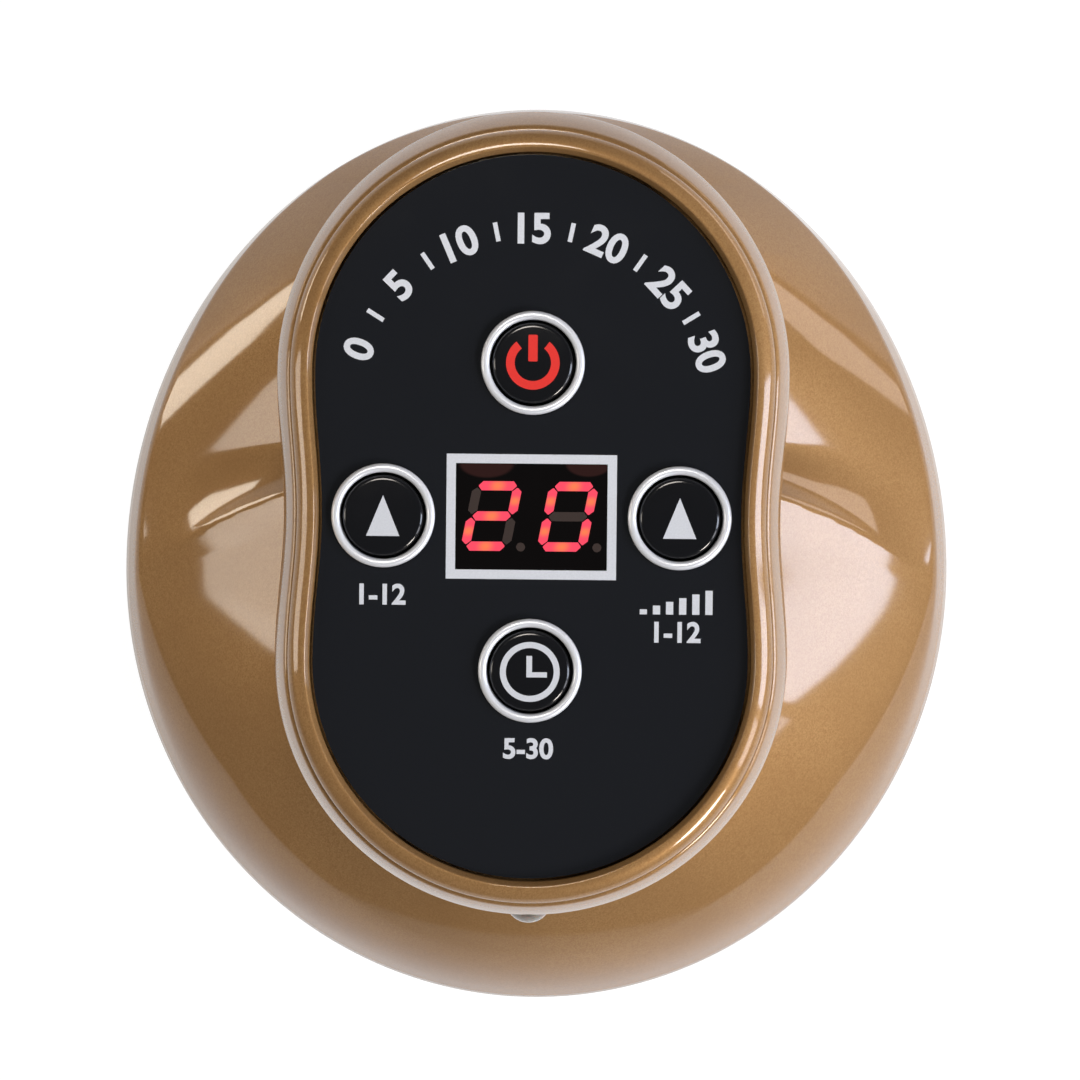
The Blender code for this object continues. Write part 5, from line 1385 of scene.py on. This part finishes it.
@dataclass(frozen=True)
class CupAssembly:
    """The cup, the ring that it pushes onto and the seal between them."""

    top: float = 18.7 * MM
    inner: float = 37.4 * MM
    outer: float = 40.0 * MM
    lip_radius: float = 41.5 * MM
    lip_height: float = 3.0 * MM
    lip_edge: float = 1.0 * MM
    lip_rounding: float = 0.9 * MM
    ring_outer: float = 37.1 * MM
    ring_inner: float = 34.1 * MM
    ring_low: float = 12.0 * MM
    ring_rounding: float = 0.25 * MM
    seal_z: float = 15.1 * MM
    seal_radius: float = 1.0 * MM
    groove: float = 1.3 * MM
    groove_depth: float = 2.3 * MM
    steps: int = 160

    def cup_section(self) -> Section:
        """The cup's wall, which widens into the lip that lies on the skin."""
        section = [
            (self.inner, self.top),
            (self.outer, self.top),
            (self.outer, self.lip_height * 2),
            (self.lip_radius, self.lip_height),
            (self.lip_radius, self.lip_edge),
            (self.lip_radius - self.lip_edge, 0.0),
            (self.inner + self.lip_edge, 0.0),
            (self.inner, self.lip_edge),
        ]
        return softened(section, self.lip_rounding, 4)

    def ring_section(self) -> Section:
        """The socket ring's section, with its groove."""
        floor = self.ring_outer - self.groove_depth
        section = [
            (self.ring_inner, self.top),
            (self.ring_outer, self.top),
            (self.ring_outer, self.seal_z + self.groove),
            (floor, self.seal_z + self.groove),
            (floor, self.seal_z - self.groove),
            (self.ring_outer, self.seal_z - self.groove),
            (self.ring_outer, self.ring_low),
            (self.ring_inner, self.ring_low),
        ]
        return softened(section, self.ring_rounding)

    def build(self) -> None:
        """Makes the cup, the ring and the seal."""
        seal = circle(self.ring_outer - self.seal_radius, self.seal_z, self.seal_radius, 16)
        pieces = (
            ("cup_wall", self.cup_section(), CUP_PLASTIC, "cup", "cup_body"),
            ("socket_ring", self.ring_section(), INNER_PLASTIC, "cup_socket_ring", "housing"),
            ("seal_ring", seal, NITRILE, "cup_seal", "housing"),
        )
        for name, section, finish, node, body in pieces:
            finished(name, turned(section, steps=self.steps, closed=True), finish, [node], body)


@dataclass(frozen=True)
class CupChamber:
    """What looks into the cup: the lamp's lens, the heater with its studs and the base screws."""

    ceiling: float = 18.7 * MM
    steps: int = 128
    lens_outer: float = 24.5 * MM
    lens_inner: float = 6.5 * MM
    lens_low: float = 13.5 * MM
    lens_wall: float = 1.4 * MM
    lens_edge: float = 0.6 * MM
    lens_rings: int = 24
    lens_ripple: float = 0.16 * MM
    lens_sharp: float = 10.0
    heater_outer: float = 32.0 * MM
    heater_inner: float = 26.0 * MM
    heater_low: float = 17.2 * MM
    heater_rounding: float = 0.3 * MM
    stud_count: int = 8
    stud_radius: float = 2.5 * MM
    stud_tip: float = 1.4 * MM
    stud_height: float = 2.4 * MM
    stud_root: float = 0.7 * MM
    stud_rounding: float = 0.6 * MM
    screw_bearings: tuple[int, ...] = (42, 138, 222, 318)
    screw_inset: float = 8.0 * MM
    screw_low: float = 19.3 * MM
    screw_radius: float = 1.3 * MM
    screw_length: float = 10.0 * MM
    screw_rounding: float = 0.2 * MM
    head_radius: float = 2.5 * MM
    head_height: float = 1.2 * MM
    thread_start: float = 1.5 * MM
    thread_pitch: float = 0.9 * MM
    thread_turns: int = 9
    thread_core: float = 0.78
    cross: Pair = (2.6 * MM, 0.6 * MM)
    cross_depth: float = 0.8 * MM
    cross_lead: float = 0.5 * MM

    def lens(self) -> Mesh:
        """The lens: a shallow tray whose face has fine rings that spread the light."""
        face = []
        for step in range(self.lens_rings + 1):
            ends = (self.lens_outer - self.lens_edge, self.lens_inner + self.lens_edge)
            ripple = self.lens_ripple if step % 2 else 0.0
            face.append((mixed(ends, step / self.lens_rings), self.lens_low + ripple))
        section = [
            (self.lens_outer - self.lens_wall, self.ceiling),
            (self.lens_outer, self.ceiling),
            (self.lens_outer, self.lens_low + self.lens_edge),
            *face,
            (self.lens_inner, self.lens_low + self.lens_edge),
            (self.lens_inner, self.ceiling),
            (self.lens_inner + self.lens_wall, self.ceiling),
            (self.lens_inner + self.lens_wall, self.lens_low + self.lens_wall),
            (self.lens_outer - self.lens_wall, self.lens_low + self.lens_wall),
        ]
        return turned(section, steps=self.steps, closed=True)

    def heater(self) -> Mesh:
        """The warm ring and its rounded studs."""
        ring = [
            (self.heater_inner, self.ceiling),
            (self.heater_outer, self.ceiling),
            (self.heater_outer, self.heater_low),
            (self.heater_inner, self.heater_low),
        ]
        tip, root = self.heater_low - self.stud_height, self.heater_low + self.stud_root
        stud = [
            (0.0, tip),
            (self.stud_tip, tip),
            (self.stud_radius, self.heater_low),
            (self.stud_radius, root),
            (0.0, root),
        ]
        stud = softened(stud, self.stud_rounding, 5, closed=False)
        parts = [turned(softened(ring, self.heater_rounding), steps=self.steps, closed=True)]
        orbit = (self.heater_outer + self.heater_inner) / 2
        for index in range(self.stud_count):
            turn = math.pi * (2 * index + 1) / self.stud_count
            parts.append(turned(stud, (orbit * math.cos(turn), orbit * math.sin(turn), 0.0), steps=40))
        return joined(parts)

    def screw(self, x: float, y: float) -> Mesh:
        """A self-tapping screw seen from its head, which has a cross recess."""
        low = self.screw_low
        section = [(0.0, low), (self.head_radius, low)]
        section += [(radius, low + self.head_height) for radius in (self.head_radius, self.screw_radius)]
        for turn in range(self.thread_turns):
            height = low + self.thread_start + turn * self.thread_pitch
            section.append((self.screw_radius * self.thread_core, height))
            section.append((self.screw_radius, height + self.thread_pitch / 2))
        section.append((0.0, low + self.screw_length))
        section = softened(section, self.screw_rounding, 2, closed=False, least=60)
        arms = [rectangle(x, y, *size) for size in (self.cross, self.cross[::-1])]
        cuts = [plate([arm], low - self.cross_lead, self.cross_lead + self.cross_depth) for arm in arms]
        return drilled(turned(section, (x, y, 0.0), steps=32), cuts)

    def build(self) -> None:
        """Makes the lens, the heater and the screws."""
        finished("lamp_lens_tray", self.lens(), LAMP_LENS, ["lamp_lens"], sharp=self.lens_sharp)
        finished("warm_ring", self.heater(), ALUMINIUM, ["heater_ring"])
        for index, degrees in enumerate(self.screw_bearings, start=1):
            x, y = DomeBody().egg_point(math.radians(degrees), self.screw_inset)
            finished(f"cross_screw_{index}", self.screw(x, y), STEEL, [f"base_screw_{index}"])


@dataclass(frozen=True)
class Connections:
    """The charging socket at the back of the head and the indicator lamp at its front."""

    socket_low: float = 67.9 * MM
    socket_front: float = 33.54 * MM
    socket_back: float = 40.54 * MM
    mouth: Pair = (8.9 * MM, 3.2 * MM)
    shell: float = 0.35 * MM
    flat: float = 0.02 * MM
    back_wall: float = 0.8 * MM
    tongue: Point = (6.2 * MM, 0.7 * MM, 0.2 * MM)
    tongue_inset: float = 1.0 * MM
    lamp_z: float = 72.6 * MM
    lamp_radius: float = 2.4 * MM
    lamp_tip: float = -36.71 * MM
    lamp_flange: float = 2.9 * MM
    flange_out: float = -29.6 * MM
    flange_in: float = -29.2 * MM

    def socket(self) -> Mesh:
        """The pressed steel shell with its tongue."""
        middle = self.socket_low + self.mouth[1] / 2
        outer, hollow = (
            rectangle(0, middle, width, height, height / 2 - self.flat)
            for width, height in (self.mouth, [side - 2 * self.shell for side in self.mouth])
        )
        length = self.socket_back - self.socket_front
        tube = plate([outer, hollow], self.socket_front, length)
        back = plate([hollow], self.socket_front, self.back_wall)
        tongue = plate([rectangle(0, middle, *self.tongue)], self.socket_front, length - self.tongue_inset)
        return upright(joined([tube, back, tongue]))

    def lamp(self) -> Mesh:
        """The indicator's light pipe, with a round tip and a flange inside the wall."""
        radius = self.lamp_radius
        section = [
            *arc((0.0, self.lamp_tip + radius), (radius, radius), (-90.0, 0.0), 12),
            (radius, self.flange_out),
            (self.lamp_flange, self.flange_out),
            (self.lamp_flange, self.flange_in),
            (0.0, self.flange_in),
        ]
        return moved(upright(turned(section, steps=64)), (0.0, 0.0, self.lamp_z))

    def build(self) -> None:
        """Makes the socket and the lamp."""
        finished("charging_port", self.socket(), STEEL, ["charging_socket"])
        finished("indicator_light", self.lamp(), NUB, ["indicator_lamp"])


@dataclass(frozen=True)
class InnerWorks:
    """The CAD pieces that stay as they are and get their finishes here."""

    finishes: tuple[tuple[Finish, str], ...] = (
        (INNER_PLASTIC, "base_plate suction_port pump_cap pump_body pump_yoke motor_magnet motor_endbell"),
        (INNER_PLASTIC, "valve_body buzzer power_switch heat_switch suction_switch time_switch"),
        (SILICONE, "port_filter suction_tube vent_tube"),
        (NITRILE, "pump_pad pump_diaphragm"),
        (STEEL, "motor_can motor_rotor valve_cap valve_plunger valve_spring"),
        (LAMINATE, "lamp_board control_board"),
        (SLEEVE, "battery_pack"),
        (DISPLAY_CASE, "led_display"),
        (SWITCH_STEM, "power_plunger heat_plunger suction_plunger time_plunger"),
        (INSULATION, "motor_lead battery_lead lamp_lead valve_lead"),
    )

    def build(self) -> None:
        """Gives each of them its finish."""
        for finish, names in self.finishes:
            for name in names.split():
                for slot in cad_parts[name].material_slots:
                    slot.material = finish.material()
                LOG.info("%s: %s", name, finish.name)


WARM = "#fff6ea"


@dataclass(frozen=True)
class Studio:
    """A white table under soft lamps, with the camera almost straight above.

    Lamps and panels stand on a sphere round the object. Each lamp is (name, bearing, height, power), and each
    panel has its corners' bearings and heights, its strength and its colour. Bearings and heights are in
    degrees, as the object sees them.
    """

    camera_place: Point = (5.2064 * MM, 7.5107 * MM, 577.327 * MM)
    camera_turn: Point = (-0.0108, 0.00885, 0.01007)
    lens: float = 166.448
    sensor: float = 36.0
    middle: Point = (0.0, 0.0, 45.0 * MM)
    reach: float = 700.0 * MM
    lamp_size: float = 180.0 * MM
    lamp_colour: str = "#fff6ec"
    lamps: tuple[tuple[str, float, float, float], ...] = (
        ("key_lamp", -45.0, 36.0, 2.7),
        ("top_lamp", 100.0, 68.0, 1.4),
    )
    panels: tuple[tuple[str, tuple[Pair, ...], float, str], ...] = (
        ("right_softbox", ((3, 8.5), (3, 50), (-14, 50), (-14, 20), (-4, 14)), 11.5, "#e2ebff"),
        ("right_strip", ((-17.5, 19.5), (-17.5, 50), (-30, 50), (-29, 23)), 6.0, "#f4f4ff"),
        ("left_softbox", ((180, 13), (180, 46), (172, 46), (172, 30), (174.5, 21), (176, 12)), 5.4, WARM),
        ("left_strip", ((180, 13), (182, 17), (186, 22.5), (186, 46), (180, 46)), 6.5, WARM),
        ("rear_right_card", ((17, 1), (60, 1), (60, 10), (30, 10), (22, 13), (17, 13)), 4.2, "#ffeee2"),
        ("rear_left_card", ((148, 0), (164, 0), (166, 8), (162, 10), (157, 8), (148, 5)), 10.0, "#fff3e0"),
    )
    wall_light: float = 0.16
    ceiling_light: float = 0.08
    ceiling_fade: Pair = (0.2, 0.97)
    table_size: float = 1.5
    table_drop: float = 0.05 * MM
    table_colour: str = "#f2f2f2"
    table_white: float = 1.12
    table_share: float = 0.85
    table_mirrored: float = 0.6

    def way(self, bearing: float, height: float) -> Vector:
        """The direction of a bearing and a height, both in degrees."""
        turn, rise = math.radians(bearing), math.radians(height)
        return Vector((math.cos(rise) * math.cos(turn), math.cos(rise) * math.sin(turn), math.sin(rise)))

    def camera(self) -> None:
        """Sets up the camera at the photograph's angle."""
        data = bpy.data.cameras.new("camera")
        data.sensor_width = self.sensor
        data.lens = self.lens
        data.clip_start = 10.0 * MM
        camera = placed("camera", data)
        camera.location = self.camera_place
        camera.rotation_euler = self.camera_turn
        bpy.context.scene.camera = camera

    def high_lamps(self) -> None:
        """Sets up the small lamps, front right and over the back, too high to show in the dome's flanks."""
        for name, bearing, height, power in self.lamps:
            data = bpy.data.lights.new(name, "AREA")
            data.shape = "DISK"
            data.size = self.lamp_size
            data.energy = power
            data.color = linear(self.lamp_colour)[:3]
            way = self.way(bearing, height)
            lamp = placed(name, data)
            lamp.location = Vector(self.middle) + way * self.reach
            lamp.rotation_euler = (-way).to_track_quat("-Z", "Y").to_euler()

    def softboxes(self) -> None:
        """Sets up the lit panels, which only reflections and light show."""
        for name, corners, strength, colour in self.panels:
            work = bmesh.new()
            work.faces.new(
                [work.verts.new(Vector(self.middle) + self.way(*corner) * self.reach) for corner in corners]
            )
            panel = placed(name, mesh_of(name, work))
            panel.visible_camera = False
            cloth = plain_material(f"{name}_cloth")
            tree = cloth.node_tree
            values = {"Color": linear(colour), "Strength": strength}
            out = {0: tree.nodes["Material Output"].inputs["Surface"]}
            add_node(tree, "ShaderNodeEmission", values, feeds=out)
            panel.data.materials.append(cloth)

    def sky(self) -> None:
        """Sets up the room: bright walls, and a dark ceiling over the camera that keeps flat gloss black."""
        world = bpy.data.worlds.new("studio_room")
        world.use_nodes = True
        bpy.context.scene.world = world
        tree = world.node_tree
        background = tree.nodes["Background"]
        set_values(background, {"Color": linear("#ffffff")})
        way = add_node(tree, "ShaderNodeTexCoord").outputs["Generated"]
        up = add_node(tree, "ShaderNodeSeparateXYZ", links={0: way}).outputs["Z"]
        fade = {"From Min": self.ceiling_fade[0], "From Max": self.ceiling_fade[1]}
        fade |= {"To Min": self.wall_light, "To Max": self.ceiling_light}
        level = add_node(tree, "ShaderNodeMapRange", fade, {"Value": up}, interpolation_type="SMOOTHSTEP")
        rays = add_node(tree, "ShaderNodeLightPath")
        both, out = {0: level.outputs[0], 1: rays.outputs["Is Camera Ray"]}, background.inputs["Strength"]
        add_node(tree, "ShaderNodeMath", links=both, feeds={0: out}, operation="MAXIMUM")

    def table(self) -> None:
        """Sets up the white table, which shows white to the camera and keeps a soft shadow."""
        work = bmesh.new()
        bmesh.ops.create_grid(work, x_segments=8, y_segments=8, size=self.table_size)
        floor = placed("table_top", mesh_of("table_top", moved(work, (0.0, 0.0, -self.table_drop))))
        laminate = plain_material("white_table_laminate")
        tree = laminate.node_tree
        shader = tree.nodes["Principled BSDF"]
        looks = {"Base Color": linear(self.table_colour), "Roughness": 0.6, "Specular IOR Level": 0.0}
        set_values(shader, looks)
        rays = add_node(tree, "ShaderNodeLightPath").outputs
        mirrored = {0: rays["Is Glossy Ray"]}
        seen = add_node(tree, "ShaderNodeMath", {1: self.table_mirrored}, mirrored, operation="MULTIPLY")
        for ray in ("Is Camera Ray", "Is Transmission Ray"):
            both = {0: seen.outputs[0], 1: rays[ray]}
            seen = add_node(tree, "ShaderNodeMath", links=both, operation="MAXIMUM")
        shown = {0: seen.outputs[0]}
        share = add_node(tree, "ShaderNodeMath", {1: self.table_share}, shown, operation="MULTIPLY")
        glow = {"Color": linear("#ffffff"), "Strength": self.table_white}
        white = add_node(tree, "ShaderNodeEmission", glow)
        blend = {0: share.outputs[0], 1: shader.outputs[0], 2: white.outputs[0]}
        out = {0: tree.nodes["Material Output"].inputs["Surface"]}
        add_node(tree, "ShaderNodeMixShader", links=blend, feeds=out)
        floor.data.materials.append(laminate)

    def build(self) -> None:
        """Sets up the camera, the lamps, the room and the table."""
        self.camera()
        self.high_lamps()
        self.softboxes()
        self.sky()
        self.table()
        bpy.context.scene.view_settings.view_transform = "Standard"


def main() -> None:
    logging.basicConfig(level=logging.INFO, format="%(name)s %(message)s")
    outside = (Studio, DomeBody, HeadShell, ControlPanel, Display, KeySet)
    for part in (*outside, CupAssembly, CupChamber, Connections, InnerWorks):
        LOG.info("building %s", part.__name__)
        part().build()
    bpy.context.view_layer.update()


if __name__ == "__main__":
    main()
